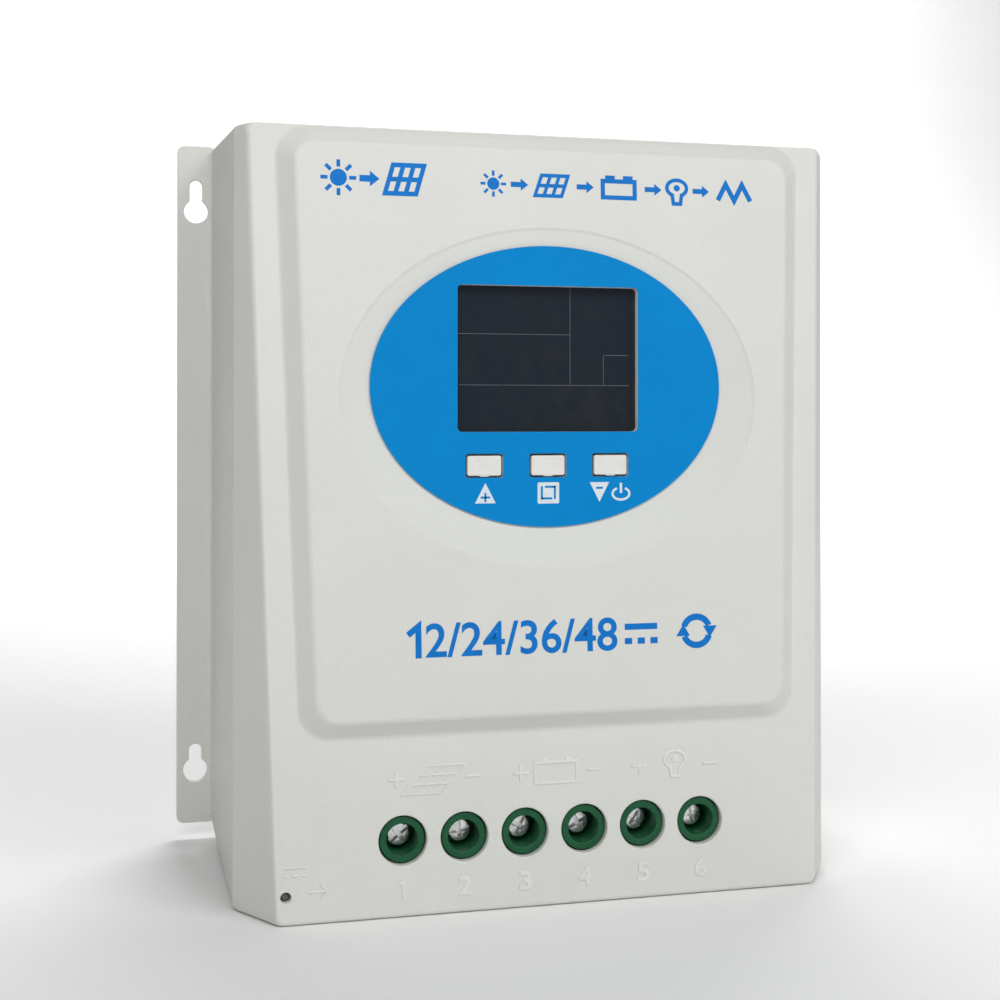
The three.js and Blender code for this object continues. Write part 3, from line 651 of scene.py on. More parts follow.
def case_loops(inset, rear_depth, panel_rise):
    """Matching loops from the wall to the raised panel, all set inwards by a wall."""
    lean = hypot(1, SHOULDER_SLOPE)
    shoulder = SHOULDER_DEPTH - inset * (lean - 1) / SHOULDER_SLOPE
    narrowing = inset * (lean - SHOULDER_SLOPE)
    radius = CORNER_RADIUS - inset / 2
    low, high = FRONT_BOTTOM + inset, FRONT_TOP - inset
    rear = REAR_HALF_HEIGHT - inset
    shoulder_width = REAR_HALF_WIDTH - SIDE_DRAFT

    def panel(margin, corner, lift):
        return outline(
            lambda z: front_half_width(z) - margin,
            FRONT_BOTTOM + PANEL_RISE_ABOVE_BOTTOM + margin - PANEL_MARGIN,
            FRONT_TOP - PANEL_TOP_MARGIN - margin + PANEL_MARGIN,
            corner,
            lambda z: front_depth(z) + lift,
        )

    base = PANEL_MARGIN + inset
    top = base + PANEL_BEVEL
    edge = (low, high, radius)
    return [
        outline(lambda z: REAR_HALF_WIDTH - inset, -rear, rear, radius, lambda z: rear_depth),
        outline(lambda z: shoulder_width - inset, *edge, lambda z: shoulder),
        outline(lambda z: front_half_width(z) - narrowing, *edge, lambda z: front_depth(z) - inset),
        panel(base, PANEL_CORNER, panel_rise - PANEL_HEIGHT),
        panel(top, PANEL_CORNER - 2, panel_rise),
        panel(top + 5, PANEL_CORNER - 3, panel_rise),
    ]


def key_window(centre):
    return pad(*centre, KEY_WIDTH / 2 + KEY_GAP, KEY_HEIGHT / 2 + KEY_GAP, 0.9)


def on_front(u, v):
    return front_depth(v)


def on_panel(u, v):
    return panel_depth(v)


def on_dish_floor(u, v):
    return FLOOR_DEPTH


def case_cutters():
    """Everything that opens the case, as closed solids clear of each other."""
    hole_radius = COLLAR_RADIUS + COLLAR_SLIT
    behind = INNER_DEPTH - 4
    cuts = [
        opening(oval(LED_CENTRE, LED_HOLE_RADIUS, LED_HOLE_RADIUS, 32), on_front, behind, 0.35),
        opening(WINDOW, on_dish_floor, behind, 0.25),
    ]
    for centre in POLE_CENTRES:
        cuts.append(opening(oval(centre, hole_radius, hole_radius, 72), on_front, behind, 0.55))
    for centre in KEY_CENTRES:
        cuts.append(opening(key_window(centre), on_dish_floor, behind, 0.2))

    # Wires and USB come in through the bottom wall, and air through the bottom and top walls.
    def bottom(u, v):
        return -REAR_HALF_HEIGHT - (-FRONT_BOTTOM - REAR_HALF_HEIGHT) * v / SHOULDER_DEPTH

    def top(u, v):
        return REAR_HALF_HEIGHT - TOP_FALL * v / SHOULDER_DEPTH

    wires = extent("terminal_body_1")[0][0], extent("terminal_body_6")[0][1]
    usb_x, usb_depth, _ = extent("usb_socket")
    slots = [
        block(wires[0] + 1, wires[1] - 1, *WIRE_SLOT_DEPTHS, 2.0),
        block(usb_x[0] - 1, usb_x[1] + 1, usb_depth[0] - 1, usb_depth[1] + 1, 1.0),
    ]
    inside = FRONT_BOTTOM + 2 * WALL
    for slot in slots:
        cuts.append(opening(slot, bottom, inside, 0.5, -1, place_up))
    for i in range(AIR_SLOTS):
        x = (i - (AIR_SLOTS - 1) / 2) * AIR_SLOT_PITCH
        slot = block(x - 1.5, x + 1.5, *AIR_SLOT_DEPTHS, 1.49)
        cuts.append(opening(slot, bottom, -REAR_HALF_HEIGHT + 2 * WALL, 0.4, -1, place_up))
        cuts.append(opening(slot, top, FRONT_TOP - WALL, 0.4, 1, place_up))
    return cuts


def keyhole_cutters():
    cuts = []
    for side in (-1, 1):
        x = side * (REAR_HALF_WIDTH + FLANGE_REACH - KEYHOLE_INSET)
        for z, top in KEYHOLES:
            loop = keyhole(x, z, KEYHOLE_RADIUS, KEYHOLE_SLOT, z + top)
            cuts.append(opening(loop, lambda u, v: FLANGE_THICKNESS, -1, 0.4))
    return cuts


def ring(centre, halves, grow, depth_at, sides=128):
    """A grown oval in x and z whose depth follows z."""
    loop = oval(centre, halves[0] + grow, halves[1] + grow, sides)
    return [Vector((u, depth_at(v), v)) for u, v in loop]


def build_case():
    outer = soft_rings(case_loops(0, 0.02, PANEL_HEIGHT), [2.0, 3.6, 2.2, 2.6])
    shell = solid("front_case_shell", [outer])

    # Flanges, with a small root along the side walls.
    root = 1.6
    end = REAR_HALF_HEIGHT - CORNER_RADIUS - 0.5
    edge = REAR_HALF_WIDTH - SIDE_DRAFT * FLANGE_THICKNESS / SHOULDER_DEPTH
    profile = [(edge - 0.8, FLANGE_THICKNESS - 0.5), (edge + root, FLANGE_THICKNESS - 0.5)]
    for i in range(7):
        angle = pi / 2 * i / 6
        depth = FLANGE_THICKNESS - 0.01 + root * (1 - cos(angle))
        profile.append((edge + root * (1 - sin(angle)), depth))
    profile.append((edge - 0.8, FLANGE_THICKNESS + root))
    flanges = []
    roots = []
    for side in (-1, 1):
        x0, x1 = sorted((side * (REAR_HALF_WIDTH - 1.5), side * case_x[1]))
        loop = block(x0, x1, -REAR_HALF_HEIGHT, REAR_HALF_HEIGHT, 2.5)
        flanges.append(prism(loop, 0, FLANGE_THICKNESS, 0.5))
        roots.append([[(side * u, v, z) for u, v in profile] for z in (-end, end)])
    shell = combined(shell, [solid("flanges", flanges), solid("roots", roots)], "UNION")

    # The hollow inside, less the bowl behind the dish, the board's posts and the screw lugs.
    hollow_loops = case_loops(WALL, -1, PANEL_HEIGHT - WALL)
    hollow = solid("hollow", [soft_rings(hollow_loops[:5], [1.5, 2, 2], 2)])
    bowl = solid("bowl", [[
        ring(LABEL_CENTRE, LABEL_HALF, DISH_WALL, lambda v: INNER_DEPTH, 96),
        ring(DISH_CENTRE, DISH_HALF, DISH_WALL, lambda v: panel_depth(v) + 0.5, 96),
    ]])
    inner_parts = []
    board_x, board_z = centre_of("display_board")
    board_front = extent("display_board")[1][1]
    for sx in (-1, 1):
        for sz in (-1, 1):
            post = (board_x + sx * POST_REACH[0], board_z + sz * POST_REACH[1])
            profile = [(POST_RADIUS, board_front + GAP), (POST_RADIUS, panel_depth(post[1]))]
            inner_parts.append(revolved(post, profile, 24))
            x, z = sx * (REAR_HALF_WIDTH - LUG_INSET[0]), sz * (REAR_HALF_HEIGHT - LUG_INSET[1])
            lug = pad(x, z, LUG_HALF_WIDTH, LUG_HALF_WIDTH, 1.0)
            inner_parts.append(prism(lug, *LUG_DEPTHS, 0.5))
    hollow = combined(hollow, [bowl, solid("inner_parts", inner_parts)], "DIFFERENCE")

    # The dish, with a small crisp step at its rim and a soft corner at its floor.
    dish = soft_rings(
        [
            ring(LABEL_CENTRE, LABEL_HALF, -6, lambda v: FLOOR_DEPTH),
            ring(LABEL_CENTRE, LABEL_HALF, 0.4, lambda v: FLOOR_DEPTH),
            ring(DISH_CENTRE, DISH_HALF, -2 * DISH_STEP, lambda v: panel_depth(v) - DISH_STEP),
            ring(DISH_CENTRE, DISH_HALF, 0, panel_depth),
            ring(DISH_CENTRE, DISH_HALF, 5, lambda v: panel_depth(v) + 0.04),
        ],
        [1.2, 0.5, 0.4],
    )
    dish.append(ring(DISH_CENTRE, DISH_HALF, 5, lambda v: panel_depth(v) + 6))
    cuts = [solid("cuts", case_cutters()), solid("keyholes", keyhole_cutters())]
    shell = combined(shell, [hollow, solid("dish", [dish])] + cuts, "DIFFERENCE")
    piece(shell, CASE, "front_case")


build_case()

# ---- Flat pieces made from an outline with holes ----


def encloses(loop, u, v):
    inside = False
    for (u0, v0), (u1, v1) in zip(loop, loop[1:] + loop[:1]):
        if (v0 > v) != (v1 > v) and u < u0 + (v - v0) / (v1 - v0) * (u1 - u0):
            inside = not inside
    return inside


def sheet_faces(bm, outer, holes, w, level):
    """A flat face with holes at depth w above level(u, v), as triangles."""
    points, edges, first = [], [], 0
    for loop in [outer] + holes:
        count = len(loop)
        points += [Vector(p) for p in loop]
        edges += [(first + i, first + (i + 1) % count) for i in range(count)]
        first += count
    flat, _, faces, *_ = delaunay_2d_cdt(points, edges, [], 1, 1e-6)
    made = [bm.verts.new((p.x * MM, -(w + level(p.x, p.y)) * MM, p.y * MM)) for p in flat]
    for face in faces:
        u = sum(flat[i].x for i in face) / len(face)
        v = sum(flat[i].y for i in face) / len(face)
        if encloses(outer, u, v) and not any(encloses(hole, u, v) for hole in holes):
            bm.faces.new([made[i] for i in face])


def on_wall(u, v):
    return 0.0


def slab(name, outer, holes, w0, w1, rounding, level=on_wall, steps=3):
    """A plate with rounded edges and holes, between two heights above level(u, v)."""
    bm = bmesh.new()
    for loop, sign in [(outer, -1)] + [(hole, 1) for hole in holes]:
        rings = [
            [(u, w + level(u, v), v) for u, v in offset(loop, sign * inset)]
            for inset, w in rounded_side(w0, w1, rounding, steps)
        ]
        lofted(bm, rings, capped=False)
    rim = offset(outer, -rounding)
    rim_holes = [offset(hole, rounding) for hole in holes]
    for w in (w0, w1):
        sheet_faces(bm, rim, rim_holes, w, level)
    bmesh.ops.remove_doubles(bm, verts=bm.verts, dist=1e-7)
    return finish_mesh(bm, name)


# ---- Label, its symbols, and the screen ----

label_outer = oval(LABEL_CENTRE, *LABEL_HALF, 160)
label_holes = [WINDOW] + [key_window(centre) for centre in KEY_CENTRES]
label = slab("label_film_sheet", label_outer, label_holes, *label_depth, 0.1)
piece(label, LABEL, "label_overlay")

PRINT_HEIGHT = 0.04
PRINT_SINK = 0.01


def strokes(name, shapes, w0, w1, rounding, material, level=on_wall, steps=2, angle=60):
    """Shapes, each (outline, holes), from w0 to w1 above a face, with rounded edges."""
    bm = bmesh.new()
    for outer, holes in shapes:
        part = slab("stroke", outer, holes, w0, w1, rounding, level, steps)
        bm.from_mesh(part.data)
        bpy.data.objects.remove(part)
    piece(finish_mesh(bm, name), material, angle=angle)


def printed(name, shapes, face, material, layer=1):
    """Thin ink shapes on an upright face."""
    low = face - PRINT_SINK
    strokes(name, shapes, low, low + PRINT_HEIGHT * layer, 0.01, material, steps=1, angle=50)


def bar(u0, v0, u1, v1, width):
    """A straight stroke as a thin rectangle, anticlockwise."""
    start, end = Vector((u0, v0)), Vector((u1, v1))
    way = (end - start).normalized() * (width / 2)
    side = Vector((-way.y, way.x))
    start, end = start - way, end + way
    return [tuple(start - side), tuple(end - side), tuple(end + side), tuple(start + side)]


def arc_stroke(centre, half_u, half_v, width, start, end, steps=28):
    """A bent stroke along part of an oval, from one angle to another in degrees."""
    outer, inner = [], []
    for i in range(steps + 1):
        angle = radians(start + (end - start) * i / steps)
        for loop, grow in ((outer, width / 2), (inner, -width / 2)):
            loop.append(around(centre, half_u + grow, half_v + grow, angle))
    return outer + inner[::-1]


def unpierced(loops):
    """Outlines as shapes without holes."""
    return [(loop, []) for loop in loops]


UP_X, SET_X, DOWN_X, POWER_X = -21.3, -1.1, 15.6, 22.7
white_marks = [
    [(UP_X - 3.3, -2.8), (UP_X + 3.3, -2.8), (UP_X, 3.5)],
    [(DOWN_X, -2.8), (DOWN_X + 3.2, 3.4), (DOWN_X - 3.2, 3.4)],
    block(SET_X - 3.5, SET_X + 3.5, -3.1, 3.5, 0.5),
    arc_stroke((POWER_X, -0.3), 2.8, 1.9, 0.75, 118, 422),
    bar(POWER_X, 0.3, POWER_X, 2.7, 0.8),
]
printed("label_white_marks", unpierced(white_marks), label_depth[1], WHITE_PRINT)

FINE_LINE = 0.65
blue_lines = (
    (UP_X - 1.2, -1.0, UP_X + 1.2, -1.0),
    (UP_X, -2.1, UP_X, 0.1),
    (DOWN_X - 0.8, 1.6, DOWN_X + 0.8, 1.6),
    (SET_X - 2.1, -1.5, SET_X - 2.1, 2.0),
    (SET_X - 2.1, -1.5, SET_X + 0.9, -1.5),
    (SET_X + 2.1, -1.4, SET_X + 2.1, 2.1),
    (SET_X - 0.8, 2.1, SET_X + 2.1, 2.1),
)
blue_marks = unpierced(bar(*line, FINE_LINE) for line in blue_lines)
printed("label_blue_marks", blue_marks, label_depth[1], LABEL, layer=2)

glass = slab("screen_glass_plate", block(*glass_x, *glass_z, 0.8), [], *glass_depth, 0.3)
piece(glass, GLASS, "lcd_glass")


def in_window(u, v):
    """A place given as shares of the window's width and height."""
    wide, tall = window_x[1] - window_x[0], window_z[1] - window_z[0]
    return window_x[0] + u * wide, window_z[0] + v * tall


screen_lines = [
    (0.0, 0.67, 0.63, 0.67),
    (0.632, 1.0, 0.632, 0.32),
    (0.02, 0.32, 0.965, 0.32),
    (0.82, 0.32, 0.82, 0.53),
    (0.82, 0.53, 0.962, 0.53),
]
SCREEN_LINE = 0.22
segments = unpierced(
    bar(*in_window(*line[:2]), *in_window(*line[2:]), SCREEN_LINE) for line in screen_lines
)
printed("screen_segments", segments, glass_depth[1], SEGMENT)

eased("lcd_frame", 0.35, WHITE_PLASTIC)

# ---- Keys ----

KEY_LIP = 1.4
CAP_TAPER = 0.2
KEY_LIP_THICKNESS = 1.2


def key_cap(name, x, z):
    """A cap whose face dips inside a raised border, with a lip behind it and a tab below it."""
    rear, face = extent(f"key_cap_{name}")[1]
    wide, tall = KEY_WIDTH / 2 - CAP_TAPER, KEY_HEIGHT / 2 - CAP_TAPER
    rings = prism(pad(x, z, wide, tall, 0.7), rear, face - 0.06, 0.35)
    for margin, drop in ((0.75, 0.06), (1.0, 0.11), (1.4, 0.14)):
        dip = pad(x, z, wide - margin, tall - margin, 0.35)
        rings.append([(u, face - drop, v) for u, v in dip])
    lip = prism(pad(x, z, wide + KEY_LIP, tall + KEY_LIP, 0.8), rear, rear + KEY_LIP_THICKNESS, 0.2)
    tab_loop = block(x - 1.5, x + 1.5, z - tall - KEY_GAP + 0.12, z - tall + 0.4, 0.15)
    tab = prism(tab_loop, rear + 0.5, face - 0.25, 0.08)
    cap = solid(f"key_{name}_cap", [rings])
    cap = combined(cap, [solid("lip", [lip]), solid("tab", [tab])], "UNION")
    piece(cap, KEY, f"key_cap_{name}", body=f"key_{name}")


def switch_plunger(name):
    node = f"switch_plunger_{name}"
    x_span, (rear, front), _ = extent(node)
    radius = half(x_span)
    profile = [(0.3, rear), (radius, rear), (radius, front), (0.3, front)]
    rings = revolved(centre_of(node), rounded_profile(profile, 0.3), 32)
    plunger = solid(f"plunger_{name}", [rings])
    piece(plunger, BLACK_PLASTIC, node, body=f"key_{name}")


for name, centre in zip(KEYS, KEY_CENTRES):
    key_cap(name, *centre)
    eased(f"tact_switch_{name}", 0.2, BLACK_PLASTIC)
    switch_plunger(name)

# ---- Terminals ----

BODY_FRONT = 96.0
SEAT = 93.1
SHANK_HOLE_RADIUS = 2.8
POCKET_HALF = (6.4, 6.9)
POCKET_DEPTHS = (64.0, 90.9)
POCKET_LAP = 1.0
WIRE_HALF_WIDTH = 4.8
WIRE_DEPTHS = (67.6, 79.0)
BAR_HALF_WIDTH = 4.0
BAR_DEPTHS = (78.8, 81.2)
BAR_GAUGE = 2.4


def terminal_body(i, centre):
    x_span, (rear, _), z_span = extent(f"terminal_body_{i}")
    x, z = centre
    front = front_depth(z) - COLLAR_RECESS
    block_rings = prism(block(*x_span, *z_span, 0.6), rear, BODY_FRONT, 0.5)
    root = BODY_FRONT - 1
    profile = [(1, root), (COLLAR_RADIUS, root), (COLLAR_RADIUS, front), (1, front)]
    collar = revolved(centre, rounded_profile(profile, 0.55), 72)
    body = combined(solid(f"terminal_{i}", [block_rings]), [solid("collar", [collar])], "UNION")

    # The screw's bore and its shank's hole, the cage's pocket, the wire's way and the bar's way.
    low, high = z - POCKET_HALF[1] + POCKET_LAP, z + POCKET_HALF[1] - POCKET_LAP
    top = z_span[1] - WALL
    wire_loop = block(x - WIRE_HALF_WIDTH, x + WIRE_HALF_WIDTH, *WIRE_DEPTHS, 1.2)
    bar_sides = (x - BAR_HALF_WIDTH, x + BAR_HALF_WIDTH)
    ways = (
        opening(oval(centre, COLLAR_BORE, COLLAR_BORE, 64), lambda u, v: front, SEAT, 0.45),
        revolved(centre, [(SHANK_HOLE_RADIUS, SEAT - 5.1), (SHANK_HOLE_RADIUS, SEAT + 1)], 32),
        prism(pad(x, z, *POCKET_HALF, 0.4), *POCKET_DEPTHS, 0.01, 1),
        opening(wire_loop, lambda u, v: z_span[0], low, 0.6, -1, place_up),
        prism(block(*bar_sides, high, top), *BAR_DEPTHS, 0.01, 1),
        prism(block(*bar_sides, top - BAR_GAUGE, top), rear - 1, BAR_DEPTHS[1] - 0.1, 0.01, 1),
    )
    cutters = [solid(f"cut_{k}", [rings]) for k, rings in enumerate(ways)]
    body = combined(body, cutters, "DIFFERENCE")
    piece(body, TERMINAL, f"terminal_body_{i}")


def screw_head_profile(rear, front, radius):
    """A cheese head with a soft rim and a slightly domed face."""
    rise = 0.22
    profile = [(0.2, rear), (radius, rear), (radius, front - rise)]
    for k in range(1, 6):
        share = k / 5
        depth = front - rise + rise * sin(share * pi / 2)
        profile.append((radius * (1 - share) + 0.15, depth))
    return rounded_profile(profile, 0.35, 3)


def threaded(centre, radius, depth0, depth1, pitch, cut_depth=0.42, sides=28):
    """Rings of a screw thread along the depth, with its end tapered."""
    rings = []
    steps = int((depth1 - depth0) / pitch * 6)
    for k in range(steps + 1):
        depth = depth0 + (depth1 - depth0) * k / steps
        taper = min(1.0, 0.55 + (depth - depth0) / 1.5)
        ring = []
        for i in range(sides):
            phase = (depth / pitch + i / sides) % 1.0
            ridge = abs(2 * phase - 1)
            reach = (radius - cut_depth * ridge) * taper
            x, z = around(centre, reach, reach, 2 * pi * i / sides)
            ring.append((x, depth, z))
        rings.append(ring)
    return rings


def turned(loop, centre, degrees):
    """A flat loop turned about a centre."""
    cosine, sine = cos(radians(degrees)), sin(radians(degrees))
    return [
        (
            centre[0] + (u - centre[0]) * cosine - (v - centre[1]) * sine,
            centre[1] + (u - centre[0]) * sine + (v - centre[1]) * cosine,
        )
        for u, v in loop
    ]


SLOT_WIDTH = 1.5
SLOT_DEPTH, CROSS_DEPTH = 1.5, 2.3
CROSS_REACH = 2.5


def terminal_screw(i, centre, angle):
    tip, front = extent(f"terminal_screw_{i}")[1]
    rear = front - SCREW_HEAD_THICKNESS
    profile = screw_head_profile(rear, front, SCREW_HEAD_RADIUS)
    head = solid(f"screw_{i}_head", [revolved(centre, profile, 48)])
    recesses = []
    cuts = ((SCREW_HEAD_RADIUS + 1, SLOT_DEPTH, 0), (CROSS_REACH, CROSS_DEPTH, 90))
    for reach, deep, turn in cuts:
        loop = turned(pad(*centre, reach, SLOT_WIDTH / 2, 0.2, 3), centre, angle + turn)
        recesses.append(solid("recess", [prism(loop, front - deep, front + 1, 0.1, 2)]))
    head = combined(head, recesses, "DIFFERENCE")
    shank = solid("shank", [threaded(centre, SCREW_RADIUS, tip, rear + 0.15, THREAD_PITCH)])
    head = combined(head, [shank], "UNION")
    piece(head, ZINC, f"terminal_screw_{i}", body=f"screw_{i}", angle=40)


SCREW_ANGLES = (38, 8, 62, 28, -35, 15)
for i, centre, angle in zip(POLES, POLE_CENTRES, SCREW_ANGLES):
    terminal_body(i, centre)
    terminal_screw(i, centre, angle)
    eased(f"clamp_cage_{i}", 0.3, STEEL, f"cage_{i}")
    eased(f"contact_bar_{i}", 0.3, COPPER)

# ---- Inside pieces ----

for node, width, look in (
    ("main_board", 0.15, CIRCUIT),
    ("display_board", 0.15, CIRCUIT),
    ("usb_socket", 0.12, STEEL),
    ("mosfet_1", 0.2, BLACK_PLASTIC),
    ("mosfet_2", 0.2, BLACK_PLASTIC),
    ("aluminium_base", 0.4, ALUMINIUM),
    ("ribbon_cable", 0.2, WHITE_PLASTIC),
):
    eased(node, width, look)

for kind in ("display_screw", "board_screw", "case_screw"):
    for i in range(1, 5):
        eased(f"{kind}_{i}", 0.25, ZINC)

for i in (1, 2):
    x_span, (base, tip), _ = extent(f"capacitor_{i}")
    centre, radius = centre_of(f"capacitor_{i}"), half(x_span)
    profile = [
        (0.5, base), (radius, base), (radius, base + 2.6), (radius - 0.6, base + 3.2),
        (radius - 0.6, base + 3.8), (radius, base + 4.6), (radius, tip - 0.2), (radius - 1.2, tip),
        (radius - 1.4, tip - 0.35), (0.5, tip - 0.35),
    ]
    can = solid(f"capacitor_{i}_can", [revolved(centre, rounded_profile(profile, 0.35), 56)])
    vents = []
    for turn in (0, 60, 120):
        loop = turned(pad(*centre, 6, 0.25), centre, turn)
        vents.append(solid("vent", [prism(loop, tip - 0.6, tip + 1, 0.01, 1)]))
    can = combined(can, vents, "DIFFERENCE")
    piece(can, SLEEVE, f"capacitor_{i}")


def wound_ring():
    """A ring core under turns of wire that lie side by side."""
    x_span, depth_span, z_span = extent("power_inductor")
    centre = Vector((middle(x_span), middle(depth_span), middle(z_span)))
    tube = half(depth_span)
    radius = half(x_span) - tube
    turns, around, wire = 46, 20, 0.5
    rings = []
    count = turns * 6
    for k in range(count):
        swing = 2 * pi * k / count
        reach = tube + wire * (abs(sin(swing * turns / 2)) - 1)
        out = Vector((cos(swing), 0, sin(swing)))
        circle = []
        for i in range(around):
            angle = 2 * pi * i / around
            forward = Vector((0, reach * sin(angle), 0))
            circle.append(centre + out * (radius + reach * cos(angle)) + forward)
        rings.append(circle)
    bm = bmesh.new()
    lofted(bm, rings + [rings[0]], capped=False)
    bmesh.ops.remove_doubles(bm, verts=bm.verts, dist=1e-7)
    return finish_mesh(bm, "wound_ring")


piece(wound_ring(), WINDING, "power_inductor", angle=70)

rear, tip = extent("status_light_pipe")[1]
profile = [(0.3, rear), (2, rear), (2, rear + 3), (1.25, rear + 3), (1.25, tip - 0.5), (0.3, tip)]
pipe = solid("light_pipe", [revolved(LED_CENTRE, rounded_profile(profile, 0.3), 32)])
piece(pipe, CLEAR, "status_light_pipe")

# ---- Raised marks on the front, and blue print on the panel ----

LINE = 0.8
MARK_HEIGHT = 0.34
MARK_SINK = 0.1
INK = 0.05


def plus(u, v, size, width):
    """A plus sign as one outline."""
    arm = width / 2
    quarter = [(size, -arm), (size, arm), (arm, arm)]
    corners = quarter + [(-y, x) for x, y in quarter]
    corners += [(-x, -y) for x, y in corners]
    return ([(u + x, v + y) for x, y in corners], [])


def minus(u, v, size, width):
    return (bar(u - size, v, u + size, v, width), [])


def ribbon(points, width):
    """An open path drawn with a pen, as one outline with mitred corners."""
    path = [Vector(p) for p in points]
    left, right = [], []
    for i, point in enumerate(path):
        ways = []
        if i > 0:
            ways.append((point - path[i - 1]).normalized())
        if i < len(path) - 1:
            ways.append((path[i + 1] - point).normalized())
        normal = sum((Vector((-way.y, way.x)) for way in ways), Vector((0, 0))) / len(ways)
        reach = normal * (width / 2 / max(normal.length_squared, 0.2))
        left.append(tuple(point + reach))
        right.append(tuple(point - reach))
    return (right + left[::-1], [])


def frame_outline(u0, u1, v0, v1, width, bumps=()):
    """A rectangular frame of a stroke's width, whose top edge may carry small bumps."""
    arm = width / 2
    outer = [(u0 - arm, v0 - arm), (u1 + arm, v0 - arm), (u1 + arm, v1 + arm)]
    for low, high, rise in sorted(bumps, reverse=True):
        outer += [(high, v1 + arm), (high, v1 + rise), (low, v1 + rise), (low, v1 + arm)]
    outer.append((u0 - arm, v1 + arm))
    hole = [(u0 + arm, v0 + arm), (u1 - arm, v0 + arm), (u1 - arm, v1 - arm), (u0 + arm, v1 - arm)]
    return (outer, [hole])


def panel_symbol(u0, u1, v0, v1, lean, columns, rows, width):
    """A leaning grid: the outline of a solar panel seen at an angle, with its cells as holes."""

    def corner(column, row, shift_u, shift_v):
        v = v0 + (v1 - v0) * row / rows + shift_v * width / 2
        u = u0 + (u1 - u0) * column / columns + lean * (v - v0) / (v1 - v0) + shift_u * width / 2
        return (u, v)

    def box(i0, j0, i1, j1, out):
        """Four corners, moved out by half a line or in by half a line."""
        return [
            corner(i0, j0, -out, -out), corner(i1, j0, out, -out),
            corner(i1, j1, out, out), corner(i0, j1, -out, out),
        ]

    cells = [box(i, j, i + 1, j + 1, -1) for i in range(columns) for j in range(rows)]
    return (box(0, 0, columns, rows, 1), cells)


def battery_symbol(u0, u1, v0, v1, width):
    """A box with a pole near each end of its top edge."""
    pole = width * 1.15
    places = (u0 + (u1 - u0) * 0.23, u0 + (u1 - u0) * 0.79)
    poles = [(u - pole, u + pole, 1.1 + width / 2) for u in places]
    return frame_outline(u0, u1, v0, v1, width, poles)


def bulb_symbol(u, v, radius, width):
    """A lamp bulb: a ring that runs into a narrow foot, and a small disc inside it."""
    foot = radius * 0.42
    low = v - radius * 1.75
    path = [(u - foot, low), (u + foot, low)]
    for i in range(25):
        angle = radians(-62 + 304 * i / 24)
        path.append(around((u, v), radius * 1.15, radius * 0.88, angle))
    inner = radius * 0.36
    ring_shape = (offset(path, width / 2), [offset(path, -width / 2)])
    return [ring_shape, (oval((u, v), inner, inner, 24), [])]


def numerals(name, text, u_span, v_span, height, level, material, weight):
    """Numerals of the built-in font, fitted into a box on a face and raised by height."""
    data = bpy.data.curves.new("numerals", "FONT")
    data.body = text
    data.offset = weight
    data.resolution_u = 5
    text_object = bpy.data.objects.new("numerals", data)
    scene.collection.objects.link(text_object)
    mesh = evaluated(text_object)
    bpy.data.objects.remove(text_object)
    bm = bmesh.new()
    bm.from_mesh(mesh)
    bpy.data.meshes.remove(mesh)
    xs = [vert.co.x for vert in bm.verts]
    ys = [vert.co.y for vert in bm.verts]
    left, wide = min(xs), max(xs) - min(xs)
    foot, tall = min(ys), max(ys) - min(ys)
    grown = bmesh.ops.extrude_face_region(bm, geom=bm.faces[:])
    front = {vert for vert in grown["geom"] if isinstance(vert, bmesh.types.BMVert)}
    for vert in bm.verts:
        u = u_span[0] + (vert.co.x - left) / wide * (u_span[1] - u_span[0])
        v = v_span[0] + (vert.co.y - foot) / tall * (v_span[1] - v_span[0])
        depth = level(u, v) + (height if vert in front else -MARK_SINK)
        vert.co = (u * MM, -depth * MM, v * MM)
    bmesh.ops.remove_doubles(bm, verts=bm.verts, dist=1e-7)
    piece(finish_mesh(bm, name), material, angle=40)


def raised(name, shapes, rounding=0.15):
    """Moulded marks on the case's front."""
    strokes(name, shapes, -MARK_SINK, MARK_HEIGHT, rounding, MARK, on_front)


def ink(name, shapes):
    """Blue print on the raised panel."""
    strokes(name, shapes, -MARK_SINK, INK, 0.01, PRINT, on_panel)


def numeral_one(u, v0, v1, width):
    """The numeral 1: an upright with a short flag to its left."""
    stem = u + width * 0.1
    return ribbon([(u - 1.5, v1 - 1.5), (stem, v1 - width * 0.3), (stem, v0)], width)


marks = [
    plus(-49.9, -85.2, 2.6, LINE),
    panel_symbol(-48.3, -36.6, -89.7, -81.5, 8.2, 4, 3, 0.62),
    minus(-26.3, -85.2, 2.2, LINE),
    plus(-11.2, -85.4, 2.5, LINE),
    battery_symbol(-6.6, 6.8, -88.8, -82.6, LINE),
    minus(12.6, -85.4, 2.2, LINE),
    plus(27.2, -85.3, 2.5, LINE),
    *bulb_symbol(39.0, -83.9, 3.0, LINE),
    minus(50.9, -85.6, 2.1, LINE),
]
raised("raised_symbols", marks, 0.12)

NUMERAL_HEIGHT = 5.8
NUMERAL_HALF_WIDTH = 2.0
NUMERAL_DROP = 17.2
for number, (x, z) in enumerate(POLE_CENTRES, start=1):
    low = z - NUMERAL_DROP
    high = low + NUMERAL_HEIGHT
    name = f"terminal_number_{number}"
    if number == 1:
        raised(name, [numeral_one(x, low, high, 1.0)])
    else:
        sides = (x - NUMERAL_HALF_WIDTH, x + NUMERAL_HALF_WIDTH)
        numerals(name, str(number), sides, (low, high), MARK_HEIGHT, on_front, MARK, 0.03)


def direct_current(u, v, line, drop, dash, spread, width):
    """A solid line over a broken one."""
    dashes = [minus(u + k * spread, v - drop, dash, width) for k in (-1, 0, 1)]
    return [minus(u, v, line, width)] + dashes


